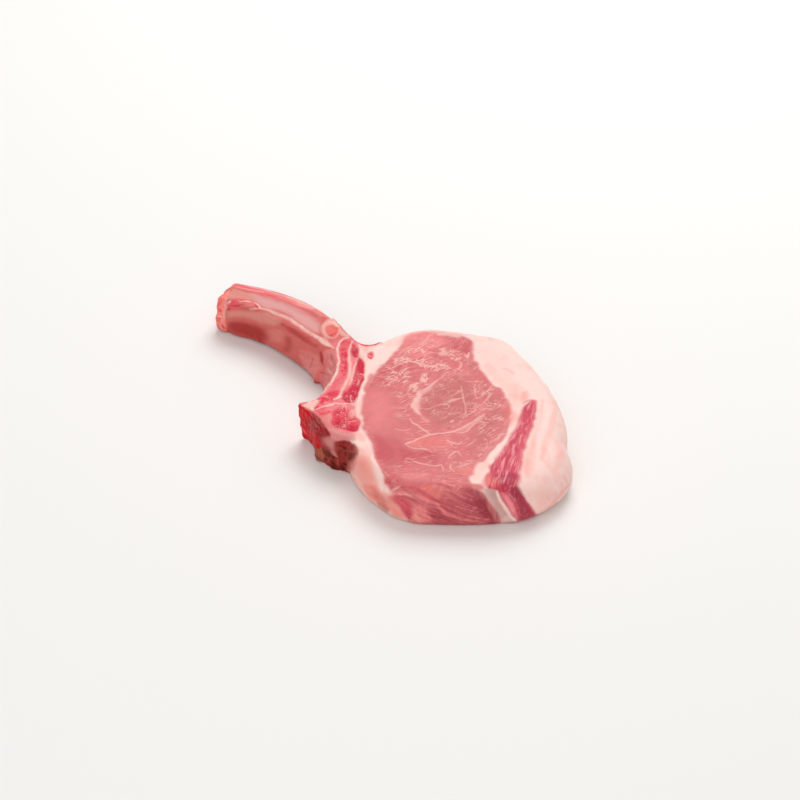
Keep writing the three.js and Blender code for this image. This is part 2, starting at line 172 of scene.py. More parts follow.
# Patches: tissue, softness of the edge in millimetres, strength and outline
PATCHES = [
    # eye of the loin
    ("lean_pale", 9, 0.65, [(364.2, 396.4), (373.4, 390.3), (385.6, 391.3), (392.8, 400.5), (392.8, 412.8),
        (388.7, 425), (379.5, 431.1), (369.3, 427), (363.7, 411.7)]),
    ("lean_pale", 4, 0.75, [(404, 335.2), (426.4, 332.1), (446.8, 338.3), (441.7, 348.5), (426.4, 358.7),
        (411.1, 358.7), (399.9, 348.5)]),
    ("lean_grey", 4, 0.9, [(425.4, 390.3), (438.7, 382.1), (457, 375), (472.3, 382.1), (477.4, 396.4),
        (475.4, 409.7), (465.2, 419.9), (446.8, 427), (430.5, 423), (422.3, 412.8), (420.3, 402.6)]),
    ("lean_grey", 5, 0.8, [(477.4, 376), (492.8, 388.3), (504, 402.6), (505, 416.8), (495.8, 432.1),
        (482.6, 442.3), (472.3, 437.2), (477.4, 421.9), (487.7, 409.7), (479.5, 396.4)]),
    ("lean_deep", 2.5, 0.45, [(457, 337.2), (472.3, 340.3), (473.4, 355.6), (462.1, 355.6), (451.9, 348.5)]),
    ("lean_deep", 4, 0.5, [(375.4, 437.2), (388.7, 435.2), (404, 442.3), (416.2, 455.6), (412.1, 465.8),
        (395.8, 470.9), (383.6, 465.8), (376.4, 452.6)]),
    ("lean_deep", 3, 0.45, [(380.5, 367.9), (397.9, 358.7), (404, 365.8), (395.8, 376), (380.5, 382.1),
        (370.3, 386.2)]),
    ("lean_deep", 3, 0.6, [(396, 447), (412, 450), (428, 451), (440, 455), (437, 464), (420, 463),
        (402, 460)]),
    ("lean_warm", 1.5, 0.55, [(406, 444.4), (420.3, 438.3), (436.6, 435.2), (451.9, 437.2), (453, 443.4),
        (441.7, 448.5), (426.4, 449), (414.2, 447.4)]),
    ("lean_deep", 1.5, 0.65, [(414.2, 450.5), (426.4, 450.5), (436.6, 453.6), (434.6, 457.7),
        (420.3, 456.6)]),
    ("lean_warm", 1.2, 0.7, [(457, 469.9), (470.3, 467.9), (472.3, 471.9), (462.1, 475)]),
    ("lean_grey", 3, 0.5, [(475.4, 437.2), (490.7, 431.1), (486.6, 445.4), (475.4, 457.7), (466.2, 450.5)]),
    ("lean_pale", 1.5, 0.6, [(403, 339.3), (408.1, 333.7), (418.3, 331.3), (431.5, 330.3), (440.7, 331.7),
        (436.6, 336.7), (421.3, 337.8), (410.1, 340.3)]),
    ("thread", 1.4, 0.6, [(420.3, 392.3), (426.4, 388.3), (433.1, 385.2), (431, 390.3), (423.4, 395.4),
        (420.3, 401.5), (421.3, 409.7), (418.3, 413.8), (414.2, 409.7), (411.1, 405.6), (414.2, 400.5),
        (417.2, 396.4)]),
    ("thread", 1, 0.35, [(453, 431.6), (463.2, 427), (475.4, 419.9), (484.6, 414.8), (482.6, 419.9),
        (472.3, 426), (463.2, 431.6)]),
    ("blush", 5, 0.15, [(475.4, 347.4), (487.7, 343.4), (499.9, 351.5), (514.2, 365.8), (514.2, 390.3),
        (506, 388.3), (495.8, 382.1), (487.7, 374), (480.5, 365.8)]),
    ("thread", 0.5, 0.8, [(419.3, 379.2), (422.5, 377), (425.7, 379.2), (426.6, 381.8), (422.5, 382.1)]),
    ("thread", 0.5, 0.7, [(409.7, 384.9), (414.2, 384), (419.3, 388.1), (417.4, 389.7), (412.3, 387.8)]),
    ("thread", 0.8, 0.6, [(437.8, 353.1), (442.9, 350.8), (448.6, 352.1), (447.4, 355.3), (440.4, 355.9)]),
    ("thread", 0.5, 0.7, [(463.8, 352.1), (465.7, 356.9), (468.3, 358.5), (470.5, 353.1), (468.6, 352.4),
        (466.7, 355)]),
    ("lean_deep", 1.5, 0.5, [(451.7, 340.9), (460.6, 341.6), (470.8, 343.5), (470.8, 350.5), (461.9, 351.8),
        (454.2, 346.7)]),
    ("lean_grey", 0.8, 0.5, [(470.8, 362.6), (476.6, 363.3), (475.9, 369), (470.8, 368.4)]),
    ("lean_deep", 2, 0.6, [(371.5, 433.3), (381, 436.5), (390.6, 444.7), (395.7, 452.4), (390.6, 460.1),
        (381, 462.6), (375.3, 457.5), (375.3, 446)]),
    ("lean_deep", 1, 0.5, [(375.3, 451.1), (381, 451.1), (384.2, 455.6), (380.4, 458.8), (375.9, 456.2)]),
    ("lean_warm", 1, 0.6, [(455.5, 470.9), (463.2, 467.7), (473.4, 469), (472.1, 472.8), (460.6, 473.4)]),
    ("cap", 2, 0.5, [(516.5, 418), (521.1, 412.7), (523.4, 414.2), (520.3, 424.9), (515.7, 436.4),
        (512.7, 447.1), (505.8, 454), (502.4, 450.9), (507.3, 441.8), (509.6, 434.9), (513.5, 428.8),
        (516.5, 423.4)]),
    ("blush", 2, 0.5, [(521.1, 392), (526.5, 390.5), (529.1, 395.1), (525.7, 401.2), (521.1, 404.3),
        (518.4, 407.3), (520, 398.1)]),
    ("blush", 3, 0.25, [(482.8, 365.2), (487.4, 363), (495.1, 372.1), (505.8, 382.8), (508.9, 390.5),
        (501.2, 387.4), (492, 379.8), (485.9, 372.9)]),
    ("peach", 2, 0.35, [(504.3, 405), (508.9, 403.5), (511.5, 410.4), (510.4, 418.8), (507.3, 426.5),
        (503.9, 424.2), (505, 415)]),
    ("lean", 1, 0.9, [(512.2, 416.8), (510, 425.9), (507.4, 433.6), (503.6, 440.5), (497.1, 446.4),
        (491, 453.1), (483.4, 461.8), (479.1, 461.8), (485.1, 453.7), (492.1, 445.6), (496.8, 440.3),
        (501.3, 434.1), (505.9, 426.9), (509.8, 418.3)]),
    ("cap", 1.2, 0.85, [(528.9, 399.6), (536.6, 399.9), (536.6, 411.6), (534.2, 423.1), (531.3, 433.6),
        (526.7, 442.2), (523.6, 450.8), (522.4, 461.3), (519.8, 470), (517.4, 466.1), (520.3, 456.6),
        (523.2, 446), (525.1, 435.5), (527.9, 425), (530.8, 416.4), (529.9, 406.8), (526, 405.1)]),
    ("cap_deep", 1.6, 0.9, [(493.5, 474.3), (501.1, 472.3), (509.8, 471.9), (518.4, 473.3), (516.9, 480.5),
        (513.6, 479.5), (505, 477.6), (495.4, 478.1)]),
    ("side_deep", 1.6, 0.8, [(495.4, 477.6), (505, 477.1), (514.5, 479.5), (516.5, 483.3), (507.8, 485.3),
        (498.3, 485.3), (493.5, 481.4)]),
    ("peach", 1.6, 0.45, [(480.6, 483.8), (484.4, 475.7), (489.7, 471.9), (493, 475.7), (493, 484.3),
        (486.8, 486.7)]),
    ("blush", 1.6, 0.4, [(521.2, 392.4), (527, 390), (530.3, 394.4), (527, 400.6), (522.2, 400.6)]),
    ("side_dark", 1.4, 0.45, [(500.2, 474.3), (509.8, 473.3), (517.9, 474.7), (516.5, 481.4), (513.6, 480),
        (505.9, 477.6), (500.2, 477.1)]),
    ("blush", 4, 0.3, [(508, 384), (520, 382), (523, 394), (518, 408), (513, 420), (509, 408), (508, 396)]),
    ("blush", 4, 0.3, [(553, 440), (562, 440), (564, 455), (559, 462), (553, 452)]),
    ("blush", 4, 0.2, [(470, 464), (480, 458), (488, 462), (482, 478), (472, 482)]),
    ("blush", 3, 0.25, [(356, 388), (361, 384), (362, 404), (362, 424), (357, 420), (355, 404)]),
    ("lean_grey", 2, 0.8, [(466.8, 361.4), (473.7, 360.7), (477.5, 365.2), (476.7, 370.6), (471.4, 370.2),
        (467.5, 366.8)]),
    # Pale fat along the back rim of the eye, which also serves as a painted highlight on that rim
    ("fat", 1.6, 0.55, [(436, 332), (448, 332.5), (462, 335), (460, 338), (447, 336.5), (437, 335)]),
    ("blush", 1.6, 0.6, [(511, 413), (516, 411), (516, 420), (512, 427), (509, 424)]),
    ("lean", 1.6, 0.85, [(362.5, 389), (366, 380), (371, 373), (375, 375), (371, 384), (366, 393)]),
    # rib
    ("rib_tan", 3, 0.9, [(227, 310.7), (236.8, 309.8), (250.2, 310.7), (260, 310.7), (270.7, 312.5),
        (279.6, 317), (281.4, 323.2), (274.3, 325.9), (260, 323.2), (247.5, 318.8), (235, 317),
        (227, 318.8)]),
    ("rib_dark", 3, 0.95, [(227.9, 322.3), (239.5, 321.4), (252.9, 324.1), (262.7, 329.5), (265.4, 336.6),
        (260.9, 343.8), (250.2, 339.3), (240.4, 335.7), (230.5, 333), (226.1, 327.7)]),
    ("rib_dark", 2.5, 0.45, [(252, 323.2), (263.6, 326.8), (272.5, 330.4), (267.1, 342.9), (260, 342.9),
        (256.4, 332.1)]),
    ("rib_dark", 2, 0.6, [(284.1, 336.6), (290.4, 336.6), (293, 345.5), (289.5, 352.7), (282.3, 350.9),
        (285, 344.6)]),
    ("rib_root", 2, 0.8, [(299.3, 355.4), (308.2, 357.1), (314.5, 357.1), (320.7, 364.3), (320.7, 372.3),
        (313.6, 374.1), (306.4, 374.1), (302, 363.4)]),
    ("rib_root", 1.5, 0.85, [(323.4, 350.9), (329.6, 349.1), (335.9, 351.8), (337.7, 364.3), (335.9, 371.4),
        (329.6, 381.2), (324.3, 387.5), (323.4, 376.8), (324.3, 364.3)]),
    ("rib_tan", 2, 0.9, [(226.1, 295.5), (233.2, 288.4), (247.5, 291.5), (260.9, 295.5), (265.4, 301.8),
        (263.6, 306.2), (256.4, 303.6), (247.5, 300.9), (236.8, 299.1), (227.9, 300)]),
    ("membrane", 3.5, 0.9, [(248.4, 293.3), (260, 295.1), (270.7, 297.3), (281.4, 300.9), (294.8, 306.2),
        (306.4, 312.5), (317.1, 319.6), (321.6, 325), (320.7, 333), (312.7, 332.1), (302.9, 326.8),
        (293.9, 320.5), (284.1, 313.4), (274.3, 310.3), (263.6, 308), (256.4, 301.8)]),
    ("rib_pink", 1.4, 0.9, [(227.9, 286.6), (235.9, 282.1), (248.4, 285.3), (268, 289.7), (285, 295.1),
        (300.2, 300.9), (313.6, 306.2), (327, 313.4), (335, 321.4), (328.8, 319.6), (319.8, 314.3),
        (308.2, 310.3), (295.7, 305.8), (281.4, 299.6), (268, 296.4), (252.9, 292.4), (236.8, 288.4)]),
    ("knob", 1.4, 0.85, [(320.3, 325.9), (327, 320.5), (334.1, 318.8), (340.4, 324.1), (343, 332.1),
        (337.7, 337.5), (333.2, 339.7), (326.1, 339.7), (321.6, 335.7), (320, 330.4)]),
    ("marrow", 1.6, 0.65, [(325.2, 328.6), (332.3, 325.9), (337.7, 328.6), (338.6, 333.9), (333.2, 338.8),
        (327, 336.6)]),
    ("rib_tan", 3, 0.45, [(265.4, 330.4), (279.6, 328.6), (285, 335.7), (281.4, 342.9), (270.7, 341.1)]),
    ("rib_root", 3, 0.7, [(299.3, 350), (310, 351.8), (319.8, 355.4), (325.2, 364.3), (325.2, 383.9),
        (315.4, 379.5), (307.3, 374.1), (303.8, 362.5)]),
    ("rib_end", 1, 0.9, [(217.1, 299.1), (223.4, 294.6), (229.6, 289.3), (228.8, 295.5), (227, 301.8),
        (226.1, 312.5), (225.2, 321.4), (227.9, 330.4), (225.2, 333.9), (220.7, 329.5), (216.2, 321.4),
        (216.7, 310.7)]),
    ("torn", 1.2, 0.9, [(227.4, 301.8), (235, 298.7), (247.5, 300.4), (256.4, 303.1), (261.8, 307.6),
        (257.3, 310.3), (248.4, 306.2), (239.5, 308.5), (230.5, 310.7), (227.4, 307.1)]),
    # vertebra
    ("marrow", 1.5, 0.45, [(340.5, 342.1), (348.6, 340.4), (352.1, 345.7), (349.5, 357.3), (348.6, 372.5),
        (341.4, 385), (333.4, 393), (324.5, 395.7), (330.7, 385.9), (337.9, 374.3), (339.6, 361.8),
        (338.8, 351.1)]),
    ("marrow", 0.9, 0.75, [(340.5, 348.4), (347.7, 348.4), (347.7, 361.8), (345, 373.4), (341.4, 372.5),
        (340.5, 361.8)]),
    ("marrow", 1.2, 0.85, [(323.6, 393.9), (333.4, 390.4), (340.5, 390.4), (338.8, 396.6), (332.5, 402),
        (324.5, 400.2)]),
    ("marrow_deep", 0.8, 0.9, [(351.2, 343), (356.6, 346.6), (358.8, 352.9), (356.6, 357.8), (353, 356.4),
        (351.7, 351.1)]),
    ("marrow_deep", 0.8, 0.95, [(359.3, 357.3), (363.8, 360), (365.4, 365.4), (363.8, 373.4),
        (364.8, 377.9), (362.1, 385), (359.5, 393), (355.7, 401.1), (350.4, 404.6), (345, 401.1),
        (341.4, 397.5), (345, 390.4), (351.2, 385), (353.9, 375.2), (356.2, 365.4), (356.6, 360.4)]),
    ("cortex", 1, 0.85, [(302.6, 406.4), (308.4, 403.8), (316.4, 399.3), (319.6, 398.8), (316, 405.5),
        (313.8, 410), (310.2, 411.3), (306.6, 407.8)]),
    ("marrow", 1.2, 0.9, [(331.6, 411.8), (335.2, 409.1), (341.4, 406.4), (348.6, 409.1), (353, 415.4),
        (359.3, 418), (361.1, 422.5), (357.5, 431.4), (350.4, 431.9), (343.2, 429.6), (336.1, 426.5),
        (330.7, 422.5), (331.6, 417.1)]),
    ("marrow_deep", 1, 0.7, [(332.5, 421.6), (339.6, 420.7), (346.8, 422.5), (352.1, 425.2), (358.4, 424.3),
        (356.6, 430.5), (350.4, 431), (343.2, 428.3), (336.1, 425.2)]),
    ("knob", 0.8, 0.65, [(348.6, 410.9), (353.9, 410), (354.8, 418), (351.2, 419.8), (348.6, 417.1)]),
    ("knob", 1.5, 0.6, [(320.9, 417.1), (330.7, 414.5), (330.7, 422.5), (327.1, 425.2)]),
    ("mauve", 1.2, 0.75, [(328, 425.2), (336.1, 428.3), (345, 432.3), (353.5, 432.8), (357, 436.5),
        (355, 441), (345, 440.8), (337.9, 439.9), (332.5, 436.8), (328, 430.5)]),
    ("fat", 1.2, 0.9, [(360, 431.5), (366, 435.5), (371.5, 442), (373.5, 449), (375.5, 459), (380, 468),
        (384, 476), (381, 477), (375, 467), (370, 456), (366, 447), (360, 438)]),
    ("side_bone", 1, 0.85, [(296.3, 403.8), (303.9, 406), (312.9, 411.8), (321.8, 420.7), (328, 430.5),
        (334.3, 440.4), (345, 440.4), (356.6, 444.8), (357.5, 460), (348.6, 475.2), (332.5, 475.2),
        (312.9, 467.1), (305.7, 447.5), (295.9, 435.9)]),
    ("blood", 0.8, 0.97, [(295.9, 406.4), (301.2, 405.1), (305.7, 407.8), (310.6, 413.6), (312, 419.8),
        (310.6, 424.7), (307.5, 425.6), (312, 429.6), (316, 434.1), (319.6, 441.2), (320.9, 448.8),
        (312.9, 448.4), (303.9, 442.1), (295.9, 434.1), (295.9, 419.8)]),
    ("side_bone", 1, 0.9, [(312, 412.7), (316.4, 414.5), (321.8, 420.7), (326.2, 427.9), (330.3, 435),
        (328.5, 437.7), (322.7, 436.8), (317.8, 435.9), (313.9, 431.4), (311.2, 426.1), (311.8, 419.8)]),
    ("mauve", 2.6, 0.75, [(321.8, 439), (328.9, 435.9), (335.2, 437.7), (336.1, 443), (334.3, 450.2),
        (337.9, 455.5), (334.3, 455.5), (328.9, 449.3), (322.7, 443.9)]),
    ("clot", 1, 0.95, [(335.6, 441.7), (341.4, 440.4), (348.6, 440.8), (353.9, 444.8), (356.2, 450.2),
        (355.7, 458.2), (352.1, 466.2), (347.2, 472.1), (339.6, 468.9), (337, 460), (335.2, 450.2)]),
    ("clot", 1, 0.95, [(316, 448.8), (324.5, 447.1), (330.7, 451.1), (337, 457.3), (343.2, 463.6),
        (347.7, 472.5), (333.4, 470.7), (320.9, 465.4), (315.1, 459.1)]),
    # Rust-brown crumbs, which here also serve as painted highlights on the crumbly flesh
    ("rust", 1, 0.75, [(316, 449.3), (321.8, 447.3), (325.8, 448.8), (325.8, 453.8), (323.6, 459.6),
        (319.6, 462.7), (315.7, 459.6)]),
    # Dark clot in the hollows of the flesh, darkened there partly as painted shade
    ("clot_dark", 1.2, 0.75, [(326.2, 450.2), (330.3, 451.1), (330.7, 456.4), (328, 460), (325.4, 456.4)]),
    ("clot_dark", 1.2, 0.7, [(347.7, 453.8), (353, 452.9), (355, 457.3), (352.1, 462.7), (348.6, 460)]),
    ("clot_dark", 1.2, 0.6, [(330.7, 461.8), (337.9, 463.6), (345.9, 467.1), (345, 470.7), (335.2, 468.9),
        (328.9, 466.2)]),
    ("blush", 4, 0.5, [(356.6, 447.5), (362.9, 446.6), (371.8, 451.1), (371.8, 460), (362.9, 468.9),
        (355.7, 460)]),
    ("fat", 1.5, 0.9, [(356.6, 340.4), (362.9, 345.7), (375.4, 345.3), (380.7, 342.1), (379.8, 352.9),
        (373.6, 364.5), (366.4, 364.5), (365.5, 360), (360.2, 355.5), (359.3, 346.6)]),
    ("rib_flesh", 2.5, 0.55, [(318, 412), (326, 413), (331, 421), (333, 428), (327, 428), (321, 421)]),
    ("blush", 2, 0.5, [(354, 433), (361, 432), (366, 437), (364, 442), (357, 440)]),
    ("blush", 2, 0.45, [(303, 407), (309, 404), (317, 399.5), (318, 402), (313, 408), (307, 410)]),
    ("marrow_deep", 2, 0.55, [(332, 420), (338, 419), (341, 425), (338, 429), (333, 427)]),
    ("marrow", 2, 0.5, [(357, 366), (362, 358), (365, 366), (364, 378), (359, 386), (352, 397), (344, 397),
        (348, 388), (354, 378)]),
    ("peach", 1.6, 0.45, [(326, 330), (331, 326.5), (337, 328), (337, 333), (332, 336), (327, 335)]),
    ("lean_deep", 1.2, 0.5, [(368, 353), (372, 352), (374, 355), (372, 358.5), (369, 357.5)]),
    ("blush", 2.5, 0.5, [(358, 344), (364, 346), (371, 346), (369, 351), (366, 354), (362, 353)]),
    ("knob", 1.6, 0.35, [(312, 311), (319, 312), (327, 317), (333, 322), (328, 322), (319, 317.5)]),
    ("rib_flesh", 3, 0.5, [(302, 352), (311, 353), (317, 360), (316, 368), (308, 363)]),
    ("torn", 2.5, 0.3, [(325, 356), (332, 357), (333, 368), (327, 374), (324, 366)]),
    ("marrow", 1.4, 0.55, [(313, 408), (319, 405), (326, 405), (325, 411), (318, 413)]),
    ("rib_tan", 2, 0.7, [(238, 303.5), (246, 302.5), (254, 305), (252, 308), (244, 307)]),
    ("gristle", 1.6, 0.4, [(286, 296), (295, 298), (303, 302), (300, 304), (291, 301)]),
    ("marrow_deep", 1.6, 0.5, [(338, 421), (344, 420), (348, 424), (344, 428), (339, 427)]),
    ("gristle", 1.6, 0.75, [(340, 329), (346, 331), (351, 336), (347, 338), (341, 335)]),
    # Painted highlight on the rib's back rim
    ("gristle", 1.6, 0.45, [(298, 300), (307, 303), (315, 308), (312, 310), (304, 307.5), (297, 304)]),
    ("marrow", 0.8, 0.8, [(367.3, 353.3), (373.1, 352), (374.5, 356), (371.3, 360), (367.5, 357.8)]),
    # front
    ("blush", 3, 0.75, [(348, 470.2), (355.2, 455), (369.5, 457.7), (375.7, 472.9), (380.2, 489.8),
        (388.2, 499.6), (402.5, 512.1), (407.9, 521.5), (393.6, 516.6), (375.7, 505), (362.3, 492.5),
        (351.6, 480)]),
    ("blush", 5, 0.5, [(356.1, 458.6), (367.7, 460.4), (373, 471.1), (375.7, 482.7), (369.5, 484.5),
        (360.5, 475.5), (357, 468.4)]),
    ("blush", 3, 0.75, [(374.8, 484.5), (380.2, 490.7), (384.6, 495.2), (382, 501.4), (375.7, 494.3)]),
    ("peach", 4, 0.3, [(356.1, 460.4), (366.8, 462.1), (371.2, 472.9), (373.9, 482.7), (366.8, 483.6),
        (359.6, 475.5)]),
    ("peach", 3, 0.7, [(362.3, 484.5), (375.7, 485.4), (382.9, 495.2), (388.2, 505), (378.4, 502.3),
        (366.8, 495.2)]),
    ("rib_dark", 1.4, 0.6, [(376.6, 501.4), (382.9, 503.2), (390, 508.6), (387.3, 513), (379.3, 507.7)]),
    ("rust", 3, 0.35, [(371, 491), (382, 493), (390, 502), (383, 507), (375, 501)]),
    ("rust", 1.2, 0.3, [(390, 512.1), (397.1, 513.9), (402.5, 517.5), (397.1, 517.5), (390.9, 514.8)]),
    ("side_deep", 5, 0.6, [(429.3, 497.9), (447.1, 492.5), (465, 495.2), (481.1, 499.6), (481.1, 526.4),
        (456.1, 525.5), (438.2, 523.8), (429.3, 513.9)]),
    ("side_red", 2.5, 0.9, [(388.2, 497), (397.1, 495.2), (407.9, 499.6), (412.3, 506.8), (414.1, 514.8),
        (409.6, 520.2), (402.5, 515.7), (397.1, 507.7)]),
    ("lean_pale", 2, 0.9, [(411.4, 508.6), (420.4, 505), (429.3, 512.1), (432, 519.3), (424.8, 523.8),
        (416.8, 523.8), (413.2, 516.6)]),
    ("blush", 1.5, 0.7, [(408.8, 522), (415.9, 512.1), (420.4, 515.7), (423, 522.9), (416.8, 525.1)]),
    ("side_deep", 2, 0.7, [(427.5, 507.7), (440, 510.4), (448, 516.6), (457, 521.1), (446.2, 523.3),
        (436.4, 521.5), (430.2, 516.6)]),
    ("lean_warm", 2, 0.9, [(418.6, 485.4), (429.3, 484.5), (438.2, 489.8), (442.7, 497.9), (436.4, 498.8),
        (427.5, 492.5), (419.5, 488.9)]),
    ("lean_pale", 2, 0.55, [(398.9, 476.4), (407.9, 472.9), (420.4, 472), (430.2, 476.4), (429.3, 480.9),
        (416.8, 479.1), (406.1, 481.8)]),
    ("lean_deep", 1.4, 0.8, [(383.8, 479.1), (390, 478.2), (395.4, 481.8), (390, 484), (384.6, 482.7)]),
    ("side_deep", 3, 0.8, [(460.7, 488.2), (476.8, 488.2), (485.7, 493.6), (492.9, 504.3), (500, 513.2),
        (496.4, 520.4), (483.9, 523), (469.6, 518.6), (463.4, 502.5)]),
    ("cap", 1.5, 0.8, [(503.6, 488.2), (516.1, 485.5), (522.3, 493.6), (529.5, 504.3), (534.8, 512.3),
        (537.5, 517.7), (526.8, 520.4), (519.6, 519.5), (517.9, 509.6), (512.5, 498.9)]),
    ("lean_pale", 1.5, 0.8, [(500, 490), (507.1, 495.4), (514.3, 506.1), (519.2, 518.6), (516.1, 519.5),
        (511.6, 511.4), (505.4, 502.5), (501.8, 497.1)]),
    ("lean_warm", 2, 0.6, [(484.8, 483.8), (492, 478.4), (500, 476.2), (503.6, 482), (496.4, 487.3),
        (487.5, 486.4)]),
    ("side_deep", 2.5, 0.9, [(503.6, 488.2), (516.1, 484.6), (526.8, 502.5), (536.6, 515), (527.7, 519.5),
        (519.6, 519.5), (516.1, 504.3), (508.9, 493.6)]),
    ("sinew", 1.2, 0.9, [(483.9, 489.1), (490.2, 488.2), (497.3, 490), (503.6, 501.6), (510.7, 512.3),
        (517, 520.4), (516.1, 524.4), (505.4, 524.4), (500, 518.6), (494.6, 507.9), (488.4, 498.9)]),
    ("cap", 1.2, 0.7, [(530.8, 507.3), (535.6, 512.5), (540.4, 516.7), (532.7, 519.2), (526, 520.7),
        (519.3, 521.1), (523.2, 515.9), (528.9, 513)]),
    ("cap_pale", 1.6, 0.6, [(503.1, 493.9), (507.8, 494.8), (513.6, 503.4), (516.5, 514), (513.6, 515.9),
        (507.8, 507.3)]),
    ("sinew", 1.4, 0.6, [(503.1, 511.1), (509.8, 514), (517.4, 520.7), (509.8, 522.6), (502.1, 521.6)]),
    ("side_deep", 1.5, 0.9, [(475, 488.2), (483, 492.7), (488.4, 499.8), (493.8, 507), (498.2, 512.3),
        (500.9, 517.7), (500.9, 524.8), (490.2, 525.7), (483.9, 518.6), (479.5, 504.3)]),
    ("side_dark", 3, 0.65, [(475, 498), (485.7, 498.9), (494.6, 509.6), (498.2, 515), (489.3, 519.5),
        (479.5, 514.1)]),
    ("side_dark", 3, 0.5, [(508, 490), (518, 487), (528, 503), (536, 514), (526, 518), (518, 506)]),
    ("fat", 1, 0.4, [(502.7, 517.7), (508, 515), (514.3, 517.7), (517, 522.1), (508.9, 524.4),
        (503.6, 523)]),
    ("blush", 6, 0.25, [(525, 448.9), (531.2, 448.9), (532.1, 466.8), (526.8, 477.5), (521.4, 475.7)]),
    ("blush", 6, 0.3, [(530.4, 490), (543.8, 488.2), (555.4, 491.8), (552.7, 504.3), (542.9, 514.1),
        (535.7, 507.9)]),
    ("lean", 1.4, 0.85, [(468.4, 477.6), (471, 482.9), (479.1, 483.3), (484.4, 485.1), (485.8, 488.1),
        (481.1, 490), (475.3, 489.1), (469.6, 483.3)]),
    ("cap", 1.6, 0.6, [(519, 458), (523, 460), (522, 470), (519, 479), (516, 476), (517, 466)]),
    ("cap", 1.6, 0.5, [(517, 476), (521, 474), (522, 482), (518, 486), (516, 482)]),
    ("blush", 2.5, 0.5, [(525, 460), (530, 458), (531, 468), (527, 476), (523, 474)]),
    ("peach", 3, 0.55, [(383, 492), (391, 493), (400, 507), (405, 518), (397, 517), (388, 510)]),
]

